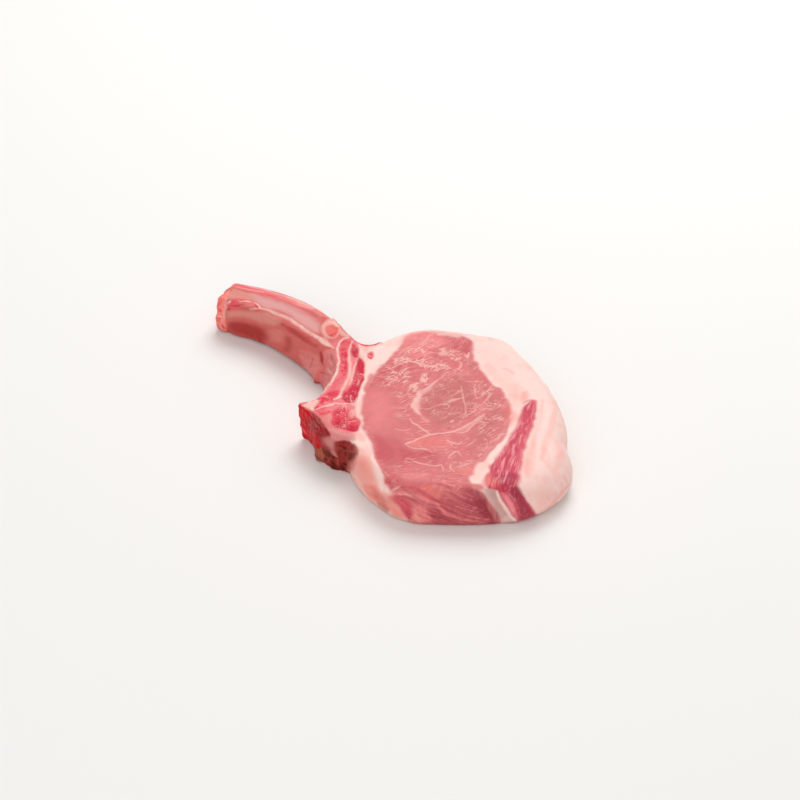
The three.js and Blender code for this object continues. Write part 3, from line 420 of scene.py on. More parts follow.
# Streaks: tissue, half width in millimetres, strength and line
STREAKS = [
    # eye of the loin
    ("thread", 0.5, 0.7, [(382.3, 370.9), (389.3, 369), (395.7, 366.5), (400.8, 363.9), (404.6, 362),
        (407.5, 359.8)]),
    ("thread", 0.8, 0.85, [(408.5, 361.4), (416.1, 362.6), (423.8, 364.5), (432.1, 366.5), (439.1, 364.5)]),
    ("thread", 0.4, 0.6, [(400.8, 359.4), (404.6, 355), (407.2, 350.5)]),
    ("thread", 0.4, 0.6, [(397, 355.6), (401.5, 352.4), (407.2, 347.3)]),
    ("thread", 0.4, 0.5, [(424.4, 343.5), (427, 339), (431.4, 334.6), (435.3, 332)]),
    ("thread", 0.8, 0.7, [(420.6, 391), (426.3, 388.8), (430.8, 385.6), (434, 382.4), (437.5, 380.8)]),
    ("thread", 0.4, 0.5, [(437.5, 380.8), (442.9, 376), (446.1, 372.2)]),
    ("thread", 1.2, 0.8, [(420.3, 391), (417.4, 396.4), (414.2, 401.5), (412.6, 405.4)]),
    ("thread", 0.4, 0.6, [(384.2, 384.9), (387.4, 384.9), (391.2, 381.8), (397, 379.2), (402.1, 379.2)]),
    ("thread", 0.4, 0.5, [(404, 396.4), (407.8, 392), (410.4, 389.4)]),
    ("thread", 0.4, 0.5, [(376.6, 376), (381.7, 376.7), (386.8, 378.6)]),
    ("thread", 0.4, 0.5, [(442.9, 402.2), (449.3, 400.3), (454.4, 398.3)]),
    ("thread", 0.4, 0.6, [(424.4, 360.7), (424.1, 356.2), (427.6, 353.1), (432.1, 352.1), (436.5, 352.4)]),
    ("lean_red", 1, 0.7, [(429.2, 349.6), (433.3, 350.5)]),
    ("lean_red", 0.6, 0.5, [(416.8, 366.5), (421.2, 368), (427, 369), (431.4, 369.3)]),
    ("lean_red", 0.6, 0.5, [(395.7, 361.4), (400.8, 360.7), (404.6, 357.5)]),
    ("lean_red", 0.5, 0.5, [(383.6, 372.5), (389.3, 368), (395.7, 363.3)]),
    ("lean_red", 0.7, 0.5, [(412.3, 380.5), (416.8, 381.1)]),
    ("thread", 0.9, 0.9, [(437.7, 333.8), (452.3, 333.6), (468.3, 334.6), (477.2, 334.7)]),
    ("thread", 0.6, 0.6, [(459, 361), (461.6, 363.6), (458.7, 369), (456.1, 368.4)]),
    ("thread", 0.4, 0.6, [(461.9, 385.6), (462.5, 392), (463.2, 398.3), (464.8, 402.8)]),
    ("thread", 0.35, 0.6, [(456.8, 392.6), (461.9, 390.1)]),
    ("thread", 0.35, 0.6, [(474, 386.2), (475.6, 393.9), (477.2, 398.7)]),
    ("thread", 0.4, 0.7, [(477.2, 398.7), (484.2, 393.9), (489.3, 388.8), (491.5, 385.3)]),
    ("thread", 0.5, 0.6, [(484.2, 402.5), (488.7, 396.4), (491.7, 392.6)]),
    ("thread", 0.35, 0.5, [(463.2, 380.5), (468.3, 381.1), (474, 381.4), (478.5, 380.5)]),
    ("thread", 0.35, 0.6, [(448.5, 402.8), (455.5, 399.6), (462.5, 397.7)]),
    ("lean_red", 1, 0.5, [(484.2, 377.9), (487.7, 381.1), (491.5, 384.9)]),
    ("thread", 1.5, 0.75, [(420.6, 395.6), (416.1, 401.4), (413.9, 405.2), (416.1, 409.7), (419.3, 414.1)]),
    ("thread", 0.9, 0.4, [(419.3, 414.1), (423.8, 418.6), (427.6, 421.8)]),
    ("thread", 0.35, 0.6, [(420.6, 408.4), (429.5, 408.7)]),
    ("thread", 0.35, 0.6, [(430.2, 408.1), (439.7, 404.6), (446.1, 403.3), (451.8, 400.1), (458.2, 398.5)]),
    ("thread", 0.55, 0.7, [(410.4, 418.6), (412.9, 423.1), (417.4, 425.6), (423.8, 429.4), (428.9, 433.3),
        (430.8, 434.5)]),
    ("thread", 0.7, 0.8, [(405.6, 444.1), (411, 441.6), (417.4, 439), (423.8, 436.8), (430.2, 434.5),
        (436.5, 433.6), (442.9, 433.3), (449.3, 432.6)]),
    ("thread", 0.45, 0.7, [(405.6, 444.4), (411, 447.3), (417.4, 448.6), (423.8, 449.2), (428.9, 450.5),
        (432.7, 452.7)]),
    ("thread", 0.45, 0.75, [(412, 460.7), (417.4, 462.6), (423.8, 463.9), (428.9, 465.2), (436.5, 465.8),
        (441.3, 464.5)]),
    ("thread", 0.35, 0.6, [(441.3, 464.5), (442.9, 468.3), (443.5, 472.2)]),
    ("thread", 0.35, 0.6, [(404.6, 458.8), (408.5, 457.8), (411.7, 459.1), (415.5, 456.5)]),
    ("thread", 0.35, 0.5, [(393.8, 428.2), (398.3, 429.8), (404.6, 429.9), (410.4, 429.4)]),
    ("thread", 0.8, 0.7, [(450.9, 422.1), (454.1, 420.2)]),
    ("thread", 0.6, 0.7, [(449, 413.5), (450.6, 413)]),
    ("thread", 0.45, 0.6, [(448, 457.5), (451.8, 454.3), (456.3, 452.1)]),
    ("thread", 0.4, 0.5, [(446.1, 441.9), (452.5, 442.3), (458.9, 444.4)]),
    ("lean_red", 0.7, 0.6, [(408.5, 407.8), (411.7, 409.3)]),
    ("lean_red", 0.8, 0.7, [(447.1, 429.8), (451.8, 426.9)]),
    ("thread", 0.7, 0.8, [(447.9, 432.6), (455.5, 430.4), (463.2, 426.9), (469.5, 423.7), (475.9, 419.9),
        (483.3, 414.6)]),
    ("thread", 0.5, 0.7, [(455.5, 432.8), (463.2, 432.6), (468.3, 430.1), (472.1, 426.2), (477.5, 422.1)]),
    ("thread", 0.35, 0.6, [(443.1, 406.5), (445.9, 403.9), (450.1, 406.5), (447.2, 408.7), (443.7, 408.1)]),
    ("thread", 0.4, 0.6, [(462.5, 396.9), (465.1, 403.3), (465.7, 410.9), (465.1, 415.1), (461.9, 418.6)]),
    ("thread", 0.4, 0.6, [(474.6, 407.4), (475.4, 410.3), (472.1, 412.9), (465.7, 416)]),
    ("thread", 0.6, 0.5, [(481, 410.3), (486.1, 409), (493.8, 409), (499.2, 406.5)]),
    ("thread", 0.4, 0.5, [(492.2, 417.6), (497.9, 415.3)]),
    ("thread", 0.4, 0.6, [(445.9, 439.3), (451, 442.2), (457.4, 444.2), (461.9, 441)]),
    ("thread", 0.4, 0.6, [(465.7, 446.3), (470.8, 443.5), (475.6, 439.3)]),
    ("thread", 0.5, 0.6, [(491.9, 442.2), (496.3, 439.6), (499.5, 435.8), (505.3, 433.6)]),
    ("thread", 0.4, 0.5, [(485.2, 449.5), (487.7, 445.1)]),
    ("thread", 0.5, 0.5, [(478.2, 457.2), (481.3, 452.7)]),
    ("thread", 0.45, 0.6, [(448.2, 459.4), (451.7, 454.3), (457.4, 451.4), (460.9, 456.2)]),
    ("thread", 0.45, 0.6, [(460, 461.3), (463.2, 465.8), (466.4, 463.9), (470.8, 463.2)]),
    ("thread", 0.45, 0.6, [(451, 463.9), (450.4, 468.3), (453.9, 471.8)]),
    ("blush", 1.2, 0.35, [(502.7, 368.3), (508.1, 369.8), (513.5, 373.7)]),
    ("blush", 1.6, 0.3, [(542.5, 399.7), (540.2, 416.5), (535.6, 431.8), (531.8, 454.8)]),
    ("blush", 2, 0.35, [(555.5, 408.9), (550.9, 428), (544.8, 445.6), (541.8, 459.4)]),
    ("fat", 0.8, 0.7, [(523.4, 406.6), (526.5, 403.5), (530.3, 400.4)]),
    ("cap_pale", 0.6, 0.6, [(509.2, 441), (513.5, 437.9), (517.3, 430.3)]),
    ("cap_deep", 0.5, 0.5, [(511.2, 447.1), (514.6, 441), (517.3, 435.6)]),
    # rib
    ("rib_dark", 1.6, 0.6, [(282.3, 324.1), (290.4, 330.4), (299.3, 336.2), (308.2, 342), (316.2, 346.4)]),
    ("rib_dark", 1.4, 0.4, [(288.6, 327.7), (299.3, 333), (310, 338.4)]),
    ("rib_dark", 0.8, 0.85, [(320.3, 352.7), (321.6, 358), (322.5, 364.3)]),
    ("rib_dark", 0.45, 0.6, [(312.7, 358), (310.9, 364.3), (310, 367.9)]),
    ("rib_dark", 0.5, 0.6, [(320.7, 372.3), (328.8, 375)]),
    ("gristle", 0.9, 0.7, [(327.9, 368.8), (333.2, 375)]),
    ("gristle", 0.5, 0.6, [(328.8, 360.7), (332.3, 365.2)]),
    ("rib_dark", 0.5, 0.5, [(330.5, 353.6), (332.3, 360.7)]),
    ("rib_tan", 0.8, 0.6, [(307.3, 359.8), (314.5, 363.4), (318.9, 369.6)]),
    ("marrow", 0.8, 0.55, [(260, 292.4), (268.9, 294.6), (277, 296.9)]),
    ("marrow", 0.6, 0.4, [(237.7, 284.8), (247.5, 287.5), (258.2, 289.7)]),
    ("rib_dark", 0.35, 0.6, [(236.8, 288.8), (245.7, 290.6), (256.4, 293.3), (267.1, 295.7)]),
    # Pale streak along the rib's back edge: a painted highlight
    ("cortex", 0.5, 0.6, [(235, 283), (250.2, 286.4), (272.5, 291.8), (290.4, 298), (308.2, 305.5),
        (327, 314.3)]),
    ("cortex", 0.4, 0.4, [(236.8, 287.5), (252.9, 289.7), (263.6, 292)]),
    ("gristle", 1.3, 0.85, [(250.2, 309.4), (260, 308.2), (268, 310.3), (277.9, 314.3), (288.6, 318.8),
        (297.5, 325), (307.3, 331.2), (317.1, 337.5), (326.1, 344.6), (333.2, 348.2)]),
    ("gristle", 1.7, 0.8, [(315.4, 336.6), (324.3, 341.1), (330.5, 346.4)]),
    ("cortex", 0.5, 0.6, [(290.4, 319.6), (299.3, 325.9), (308.2, 331.2)]),
    ("rib_pink", 0.7, 0.5, [(301.1, 328.6), (306.4, 330.4)]),
    ("marrow_deep", 0.6, 0.7, [(329.6, 336.6), (332.3, 333.9), (335, 333)]),
    ("cortex", 0.8, 0.6, [(328.8, 323.2), (334.1, 324.1), (338.6, 327.7)]),
    ("rib_end", 0.8, 0.8, [(341.2, 327.7), (343, 332.1)]),
    ("marrow", 0.9, 0.7, [(321.6, 317.9), (326.1, 319.2)]),
    ("marrow", 0.35, 0.6, [(334.1, 319.6), (339.5, 325.9), (347.5, 333.9)]),
    ("gristle", 0.6, 0.6, [(227, 297.3), (225.9, 305.4), (224.7, 313.4), (223.8, 319.6)]),
    ("cortex", 0.7, 0.85, [(228.8, 303.1), (231, 301.3)]),
    ("cortex", 0.5, 0.7, [(239.5, 301.8), (245.7, 301.8), (251.1, 303.1)]),
    ("cortex", 0.5, 0.85, [(252.9, 303.1), (257.3, 304.9), (260.4, 308.5)]),
    ("marrow_deep", 0.8, 0.8, [(228.3, 309.8), (230.5, 308)]),
    ("marrow_deep", 0.6, 0.7, [(232.3, 305.8), (239.5, 305.4), (244.8, 304.5)]),
    ("marrow", 0.7, 0.8, [(253.8, 306.2), (258.7, 308)]),
    ("blood", 1.1, 0.8, [(219.4, 309.8), (220.7, 312.1)]),
    ("peach", 1.1, 0.7, [(218.9, 318.8), (222.5, 320.5)]),
    ("peach", 0.9, 0.8, [(224.3, 326.8), (226.5, 329)]),
    ("peach", 1.2, 0.75, [(218.5, 317), (219.4, 323.2)]),
    ("marrow", 0.9, 0.6, [(218.5, 301.8), (218, 306.2)]),
    ("rib_dark", 0.6, 0.6, [(222.5, 325), (224.7, 328.6)]),
    ("cortex", 0.6, 0.5, [(220.7, 321.4), (222.5, 319.6)]),
    ("marrow", 0.8, 0.5, [(221.6, 299.1), (219.8, 304.5)]),
    ("cortex", 0.6, 0.5, [(218, 315.2), (221.6, 317)]),
    ("rib_dark", 0.8, 0.6, [(223.4, 332.1), (227, 333.5)]),
    ("peach", 1.2, 0.7, [(329.6, 333), (333.2, 330.8), (336.8, 329.9)]),
    # vertebra
    ("marrow", 1, 0.7, [(340.5, 343.9), (345, 340.8), (350.4, 342.6), (352.6, 345.7)]),
    ("marrow", 1.1, 0.9, [(315.1, 408.2), (320.9, 403.8), (322.7, 397.5), (318.2, 399.3)]),
    ("marrow", 1.1, 0.75, [(315.5, 410.9), (321.8, 413.6), (328.9, 410.9)]),
    ("cortex", 0.6, 0.9, [(348.6, 337.7), (343.2, 339), (338.9, 343.9), (337.7, 352.9), (338.6, 361.8),
        (337.7, 370.3), (334.3, 377), (328.9, 385), (322.2, 392.6), (315.1, 398.6), (307.9, 403.6),
        (302.1, 406.2)]),
    ("cortex", 0.45, 0.95, [(337.9, 370.3), (334.3, 377), (328.9, 385), (322.2, 392.6), (315.1, 398.6),
        (307.9, 403.6)]),
    ("cortex", 0.8, 0.7, [(352.1, 341.2), (349.9, 348.4), (349, 357.3), (349.9, 368.9), (348.6, 377.9),
        (343.2, 387.7), (339.6, 395.7), (333.4, 400.2)]),
    ("cortex", 0.6, 0.6, [(357.5, 357.8), (354.4, 368), (352.1, 377), (349.5, 384.1)]),
    ("cortex", 0.9, 0.8, [(359.3, 343), (360.6, 350.2), (360.2, 356.4), (365.5, 360.9), (366.4, 370.7),
        (365.5, 378.8), (361.5, 391.2), (357.5, 402)]),
    ("cortex", 0.35, 0.85, [(357.5, 374.3), (361.1, 373.8), (364.2, 375.6)]),
    ("cortex", 0.35, 0.7, [(358.8, 379.6), (358.2, 385)]),
    ("cortex", 0.35, 0.8, [(350.4, 394.8), (351.2, 400.2), (353.5, 403.8), (356.6, 396.6)]),
    ("cortex", 0.7, 0.85, [(332.9, 399.7), (337.9, 397.9), (341.4, 396.6)]),
    ("cortex", 0.5, 0.8, [(322.7, 406.9), (330.7, 405.5), (335.2, 403.3), (343.2, 404.2), (348.6, 402.9),
        (353.9, 405.5)]),
    ("cortex", 0.45, 0.75, [(314.2, 410), (323.6, 406.4), (330.7, 403.8)]),
    ("cortex", 0.4, 0.6, [(341.4, 409.1), (345, 405.5), (346.8, 410.9)]),
    ("marrow_deep", 0.5, 0.7, [(335.6, 413.6), (338.8, 409.1), (337.9, 419.8)]),
    ("marrow_deep", 0.5, 0.7, [(341.4, 411.8), (343.7, 418), (342.3, 423.4)]),
    ("marrow_deep", 0.4, 0.6, [(345.9, 410.9), (346.8, 417.1)]),
    ("cortex", 0.35, 0.7, [(348.6, 421.6), (353, 421.2), (357.5, 419.8)]),
    ("cortex", 0.35, 0.7, [(342.3, 427.9), (343.7, 424.3), (345, 427)]),
    ("marrow_deep", 0.4, 0.7, [(342.3, 351.1), (341.9, 358.2), (342.8, 364.5)]),
    ("marrow_deep", 0.4, 0.7, [(345.4, 350.2), (345.9, 358.2), (345, 370.7)]),
    ("marrow", 0.8, 0.6, [(332.5, 383.2), (341.4, 377), (346.8, 372.5)]),
    ("marrow", 0.55, 0.85, [(352.1, 336.3), (356.6, 341.7), (362, 344.8), (370.9, 345), (376.2, 343.9),
        (379.8, 341.7)]),
    ("marrow_deep", 0.4, 0.6, [(374.5, 344.4), (379.4, 342)]),
    ("cortex", 0.4, 0.6, [(369.1, 355.1), (371.8, 356.4)]),
    ("blood", 0.8, 0.6, [(312, 428.8), (316.4, 429.6), (320.9, 431.4)]),
    ("mauve", 0.4, 0.45, [(315.1, 414.9), (319.1, 422.1), (323.6, 430.5)]),
    ("mauve", 0.4, 0.4, [(312.9, 420.7), (316, 426.1), (319.6, 429.6)]),
    ("mauve", 0.5, 0.7, [(330.7, 451.1), (334.3, 454.6), (337.9, 457.3)]),
    ("blood", 0.8, 0.5, [(341.4, 443.9), (345, 446.6)]),
    # The next two streaks, in the marrow colour, are painted highlights on the red lobes; the two after them,
    # in the clot colour, are painted shade on the lobes
    ("marrow", 0.9, 0.45, [(301.7, 409.1), (303.5, 414.5)]),
    ("marrow", 0.7, 0.45, [(302.6, 429.6), (305.7, 434.1)]),
    ("clot", 0.9, 0.3, [(307.1, 415.4), (308.4, 420.7), (305.7, 424.3)]),
    ("clot", 0.8, 0.3, [(312, 435.9), (316, 441.2), (318.2, 445.3)]),
    ("clot", 0.5, 0.6, [(317.3, 418), (320.9, 424.3), (324.5, 431.4)]),
    # The next five streaks are painted glints on the dark flesh
    ("rust", 0.4, 0.7, [(321.8, 456.4), (324.5, 458.7)]),
    ("rust", 0.4, 0.7, [(330.7, 462.2), (332.9, 464.5)]),
    ("rust", 0.4, 0.6, [(337, 459.6), (339.2, 462.7)]),
    ("rust", 0.5, 0.5, [(348.6, 450.2), (351.2, 451.1)]),
    ("knob", 0.4, 0.6, [(317.3, 458.7), (320.4, 460.4)]),
    # front
    ("blush", 0.8, 0.6, [(361.4, 480), (366.8, 488.9), (374.8, 493.4)]),
    # Pale line along the rim of the fat's front wall: a painted highlight
    ("cortex", 0.8, 0.5, [(348.9, 470.2), (356.1, 477.3), (363.2, 488.9), (369.5, 498.8)]),
    ("fat", 1.3, 0.95, [(371.7, 456.8), (374.4, 463), (377.9, 472), (380.6, 480.9), (382.7, 489.8)]),
    ("lean_red", 1.4, 0.65, [(400.7, 486.7), (411.4, 488), (420.4, 491.2), (425.7, 494.7), (434.6, 500.1),
        (446.2, 507.7)]),
    ("lean_pale", 1.4, 0.85, [(392.7, 491.6), (402.5, 492.9), (415.9, 496.1), (429.3, 501.4), (438.2, 505)]),
    ("side_deep", 0.9, 0.85, [(397.1, 495.6), (409.6, 498.6), (420.4, 502.3), (431.1, 506.8),
        (439.1, 510.4)]),
    ("lean_pale", 1, 0.85, [(435.5, 504.1), (440.9, 509), (446.2, 513.9), (453.4, 516.6), (460.5, 518.8)]),
    ("thread", 0.5, 0.85, [(390, 492.5), (394.5, 489.4), (399.8, 485.8)]),
    ("thread", 0.5, 0.6, [(390, 493.4), (402.5, 494.3), (411.4, 495.6)]),
    ("lean_red", 0.9, 0.6, [(384.6, 483.6), (390, 481.8), (397.1, 480.9)]),
    ("thread", 0.4, 0.6, [(382.9, 470.2), (386.4, 473.8), (390, 476.4)]),
    ("lean_pale", 0.5, 0.8, [(444.5, 497.4), (452.5, 498.8)]),
    ("lean_pale", 0.6, 0.7, [(455.2, 505.9), (465, 508.6), (479.3, 512.1)]),
    ("lean_pale", 0.6, 0.7, [(457.9, 513.5), (468.6, 516.6), (480.2, 518.4)]),
    ("lean_pale", 0.5, 0.7, [(465, 519.7), (473.9, 520.6), (480.2, 521.5)]),
    ("lean_pale", 0.5, 0.7, [(440, 519.3), (445.4, 520.6)]),
    ("side_deep", 0.7, 0.8, [(456.1, 512.1), (466.8, 515.7), (480.2, 516.6)]),
    ("side_deep", 0.7, 0.8, [(466.8, 506.8), (473.9, 508.6), (480.2, 509.9)]),
    ("lean_pale", 0.5, 0.6, [(434.6, 480.9), (442.7, 482.7), (449.8, 484.5), (455.2, 488)]),
    ("lean_pale", 0.5, 0.6, [(438.2, 486.2), (445.4, 488.9), (450.7, 491.6)]),
    ("side_deep", 0.6, 0.5, [(436.4, 483.6), (444.5, 485.8), (452.5, 489.8)]),
    ("lean_pale", 0.5, 0.6, [(452.7, 491.8), (461.6, 497.1), (473.2, 500.7)]),
    ("lean_pale", 0.5, 0.6, [(455.4, 501.6), (465.2, 506.1), (476.8, 507.9)]),
    ("lean_pale", 0.6, 0.6, [(455.4, 510.5), (466.1, 515), (476.8, 517.7), (489.3, 519.5)]),
    ("lean_pale", 0.5, 0.6, [(458.9, 518.6), (473.2, 520.4), (487.5, 523)]),
    ("lean_warm", 0.6, 0.6, [(467, 482), (475, 487.3), (483.9, 490)]),
    ("fat", 0.9, 0.95, [(496.6, 490.9), (499.6, 498.9), (505.4, 507), (511.6, 516.8), (515.6, 521.2)]),
    ("cap_deep", 0.9, 0.8, [(520.5, 493.6), (526.8, 503.4), (533, 512.3), (537.5, 517.7)]),
    ("cap_deep", 1, 0.7, [(519.6, 518.6), (526.8, 519), (535.7, 517.7)]),
    ("cap_deep", 1.1, 0.75, [(493.8, 476.2), (503.6, 475.3), (513.4, 474.4)]),
    ("cap_deep", 0.8, 0.7, [(500, 485.1), (508, 485.1), (516.1, 484.6)]),
    ("cap_deep", 0.8, 0.6, [(516.1, 474.8), (517, 480.2), (516.1, 483.8)]),
    ("cap_pale", 0.5, 0.5, [(507.1, 493.6), (512.5, 497.1), (515.2, 502.5)]),
    ("blush", 3, 0.25, [(533, 440), (532.1, 453.4), (529.5, 466.8), (528.6, 475.7)]),
    ("blush", 2.2, 0.25, [(542.9, 445.4), (547.3, 457.9), (548.2, 466.8)]),
    ("blush", 2.2, 0.3, [(563.4, 448.9), (558.9, 462.3), (557.1, 469.5)]),
    ("blush", 1.2, 0.5, [(568.8, 484.6), (559.8, 495.4), (550.9, 506.1), (544.6, 514.1)]),
]

# How much of its own pattern the lean shows: amount and outline
MARBLING = [
    (0.1, [(364.2, 388.3), (380.5, 384.2), (393.8, 390.3), (395.8, 411.7), (406, 432.1), (416.2, 443.4),
        (404, 457.7), (385.6, 469.9), (375.4, 452.6), (367.2, 421.9)]),
    (1.6, [(375.4, 378.1), (385.6, 363.8), (404, 350.5), (416.2, 343.4), (446.8, 347.4), (462.1, 358.7),
        (441.7, 374), (421.3, 388.3), (412.1, 402.6), (404, 412.8), (395.8, 396.4), (385.6, 388.3)]),
    (0.5, [(425.4, 390.3), (438.7, 382.1), (457, 375), (472.3, 382.1), (477.4, 396.4), (475.4, 409.7),
        (465.2, 419.9), (446.8, 427), (430.5, 423), (422.3, 412.8), (420.3, 402.6)]),
    (1, [(475.4, 368.9), (492.8, 382.1), (506, 402.6), (497.9, 425), (480.5, 440.3), (476.4, 427),
        (481.5, 406.6), (474.4, 386.2)]),
    (0.9, [(446.8, 442.3), (477.4, 439.3), (492.8, 432.1), (482.6, 452.6), (472.3, 467.9), (451.9, 465.8),
        (441.7, 455.6)]),
]
MARBLING_SOFTNESS = 4

# For each tissue: how much of its pattern shows, and how far its colour wanders over its seams
TISSUE_PATTERN = (0.6, 1, 1, 0.2, 1)
TISSUE_RAGGED = (1, 1, -1, 0.3, 0.3)

# Bearings of the fibres on the plan, and the ways that the layers on the loin's sides run and sink
LEAN_RUN = math.radians(80)
FRONT_RUN = math.radians(38)
CAP_RUN = math.radians(-62)
RIB_RUN = math.radians(8)
LAYER_RUN = (0.77, 0.64, 0)
LAYER_SLOPE = (0.34, 0.29, 1.0)

# Marks that hide or bring out the pattern of the tissue that they lie on
PATTERN_SHOWN = {
    "fat": 0, "cortex": 0, "gristle": 0, "thread": 0, "blush": 0.5, "mauve": 0, "knob": 0, "sinew": 0,
    "blood": 0, "clot": 0, "clot_dark": 0, "rust": 0, "side_bone": 0.1, "membrane": 0.3, "marrow": 1,
    "marrow_deep": 0.6, "bone": 0.5,
}

# How far each tissue stands up from the surface round it, and the height of its lumps, in millimetres
TISSUE_RELIEF = {
    "thread": (0.15, 0), "fat": (0.2, 0), "cortex": (0.35, 0), "marrow": (-0.3, 0.3),
    "marrow_deep": (-0.45, 0.3), "clot": (0.2, 1.6), "clot_dark": (-0.8, 1.2), "rust": (0.4, 1.4),
    "blood": (0.2, 0.9), "side_bone": (-0.4, 0.8), "knob": (1.3, 0.4), "torn": (0.7, 1.4),
    "rib_root": (0, 1.1), "membrane": (-0.3, 0), "gristle": (0.2, 0.3), "rib_end": (0.3, 1.3),
    "peach": (0.1, 0.2), "rib_dark": (-0.4, 0.3), "lean_red": (-0.15, 0), "lean_deep": (-0.15, 0),
}


def srgb(code):
    """Turns an sRGB hex code into the linear colour that Blender works in."""
    channels = [int(code[i:i + 2], 16) / 255 for i in (1, 3, 5)]
    linear = [c / 12.92 if c <= 0.04045 else ((c + 0.055) / 1.055) ** 2.4 for c in channels]
    return (*linear, 1.0)


def colour(name, code, words):
    """A colour setting from its sRGB hex code."""
    return bpy.props.FloatVectorProperty(
        name=name, description=words, subtype="COLOR", size=4, min=0, max=1, default=srgb(code))


def length(name, value, words):
    """A length setting from its millimetres."""
    return bpy.props.FloatProperty(
        name=name, description=words, default=value * MM, min=0, unit="LENGTH", precision=4)


class ChopSizes(bpy.types.PropertyGroup):
    """Sizes of the chop that a user would change."""
    slab: length("Slab height", 22, "Height of the cut face above the floor")
    dome: length("Dome", 2.5, "Swell of the loin above the edge of the cut face")
    mesh_step: length("Mesh step", 0.54, "Spacing of the points on the chop's cut face")
    lean_relief: length("Lean relief", 0.25, "Height of the fibre bundles on the lean")
    cap_relief: length("Cap relief", 0.7, "Height of the fibres on the cap muscle")
    fat_relief: length("Fat relief", 0.25, "Height of the fine lumps in the fat")
    bone_relief: length("Bone relief", 0.5, "Depth of the pores in sawn bone")
    rib_relief: length("Rib relief", 0.2, "Height of the ridges on the rib")
    fold_relief: length("Fold relief", 1.0, "Height of the folds on the front of the loin")
    fat_folds: length("Fat folds", 1.2, "Height of the folds on the sides of the fat")


class ChopColours(bpy.types.PropertyGroup):
    """Colours of the tissues."""
    lean: colour("Lean", "#d67274", "Main colour of the loin's lean")
    lean_pale: colour("Pale lean", "#ec8786", "Lean that is smooth and brighter")
    lean_deep: colour("Deep lean", "#c44f58", "Lean where it is redder")
    lean_grey: colour("Grey lean", "#c56a68", "Lean in the middle of the eye, greyer")
    lean_warm: colour("Warm lean", "#e87d74", "Lean with an orange cast")
    lean_red: colour("Red lean", "#cf4756", "Red flecks beside the threads")
    thread: colour("Thread", "#f2bdb3", "Threads of fat in the lean")
    side_deep: colour("Deep side", "#ac4450", "Brownish lean on the front")
    side_dark: colour("Dark side", "#8f2c38", "Darkest lean on the front")
    side_red: colour("Red side", "#cd4a5a", "Redder lean on the front")
    cap: colour("Cap lean", "#d1495a", "Dark muscle in the fat cap")
    cap_deep: colour("Deep cap lean", "#b92b4c", "Darkest fibres of the cap muscle")
    cap_pale: colour("Pale cap lean", "#f499a2", "Pale fibres of the cap muscle")
    fat: colour("Fat", "#fad4cb", "Fat cap and seams")
    blush: colour("Fat blush", "#f59f94", "Pink tinge in the fat")
    peach: colour("Peach", "#e4685a", "Orange-red where fat, lean and bone meet")
    bone: colour("Bone", "#ec7f84", "Pink sawn bone")
    # Marrow also gives the painted highlights on the red lobes of the vertebra's side
    marrow: colour("Marrow", "#de2743", "Red marrow of the sawn bone")
    marrow_deep: colour("Deep marrow", "#bf0a34", "Darkest marrow")
    bone_net: colour("Bone net", "#f19495", "Thin walls of bone between the marrow")
    # The bone rim colour also gives painted highlights along the back edge of the rib and the rim of the
    # fat's front wall
    cortex: colour("Bone rim", "#f9d6c8", "Dense pale bone round the marrow")
    # Gristle also gives a painted highlight on the rib's back rim
    gristle: colour("Gristle", "#e9b9ad", "Grey-pink gristle and the ridge of the rib")
    blood: colour("Blood", "#cc0416", "Bright red flesh on the vertebra's side")
    side_bone: colour("Side of bone", "#931a1e", "Dark red bone on the vertebra's side")
    sinew: colour("Sinew", "#cba29a", "Grey sinew between the eye and the cap muscle")
    mauve: colour("Mauve", "#d68f8a", "Grey-pink gristle on the vertebra's side")
    # Clot also gives the painted shade on the red lobes of the vertebra's side
    clot: colour("Clot", "#963029", "Dark maroon flesh under the vertebra")
    # Brown crumbs on the dark flesh, and the painted glints and highlights on it
    rust: colour("Rust", "#b0614a", "Brownish crumbs on the dark flesh")
    # Dark clot, used partly as painted shade in the hollows
    clot_dark: colour("Dark clot", "#511410", "Hollows in the dark flesh")
    membrane: colour("Membrane", "#da9d9a", "Thin grey-mauve skin over the rib")
    rib_flesh: colour("Rib flesh", "#d0645f", "Flesh on the sides of the rib")
    rib_pink: colour("Rib pink", "#f07c7e", "Pink flesh along the back of the rib")
    rib_tan: colour("Rib tan", "#dc8d82", "Salmon skin over the rib")
    rib_dark: colour("Rib dark", "#ab3633", "Dark red flesh seen through the skin of the rib")
    rib_root: colour("Rib root", "#e48783", "Ragged flesh where the rib meets the vertebra")
    rib_end: colour("Rib end", "#ff8d82", "Pink cut end of the rib")
    # The joint colour also gives one painted glint on the dark flesh
    knob: colour("Joint", "#f2aca1", "Pale joint on the rib")
    torn: colour("Torn flesh", "#e65f68", "Torn flesh at the rib's end")


def smooth_line(rows, closed=False, per_span=6):
    """Centripetal curve through rows of numbers; the first two are x and y."""
    rows = np.asarray(rows, float)
    if closed:
        rows = np.vstack([rows[-1], rows, rows[0], rows[1]])
    else:
        rows = np.vstack([2 * rows[0] - rows[1], rows, 2 * rows[-1] - rows[-2]])
    knots = np.concatenate([[0], np.cumsum(np.linalg.norm(np.diff(rows[:, :2], axis=0), axis=1) ** 0.5)])
    line = []
    for i in range(len(rows) - 3):
        p0, p1, p2, p3 = rows[i:i + 4]
        t0, t1, t2, t3 = knots[i:i + 4]
        t = np.linspace(t1, t2, per_span, endpoint=False)[:, None]
        a1 = ((t1 - t) * p0 + (t - t0) * p1) / (t1 - t0)
        a2 = ((t2 - t) * p1 + (t - t1) * p2) / (t2 - t1)
        a3 = ((t3 - t) * p2 + (t - t2) * p3) / (t3 - t2)
        b1 = ((t2 - t) * a1 + (t - t0) * a2) / (t2 - t0)
        b2 = ((t3 - t) * a2 + (t - t1) * a3) / (t3 - t1)
        line.append(((t2 - t) * b1 + (t - t1) * b2) / (t2 - t1))
    if not closed:
        line.append(rows[-2][None])
    return np.vstack(line)


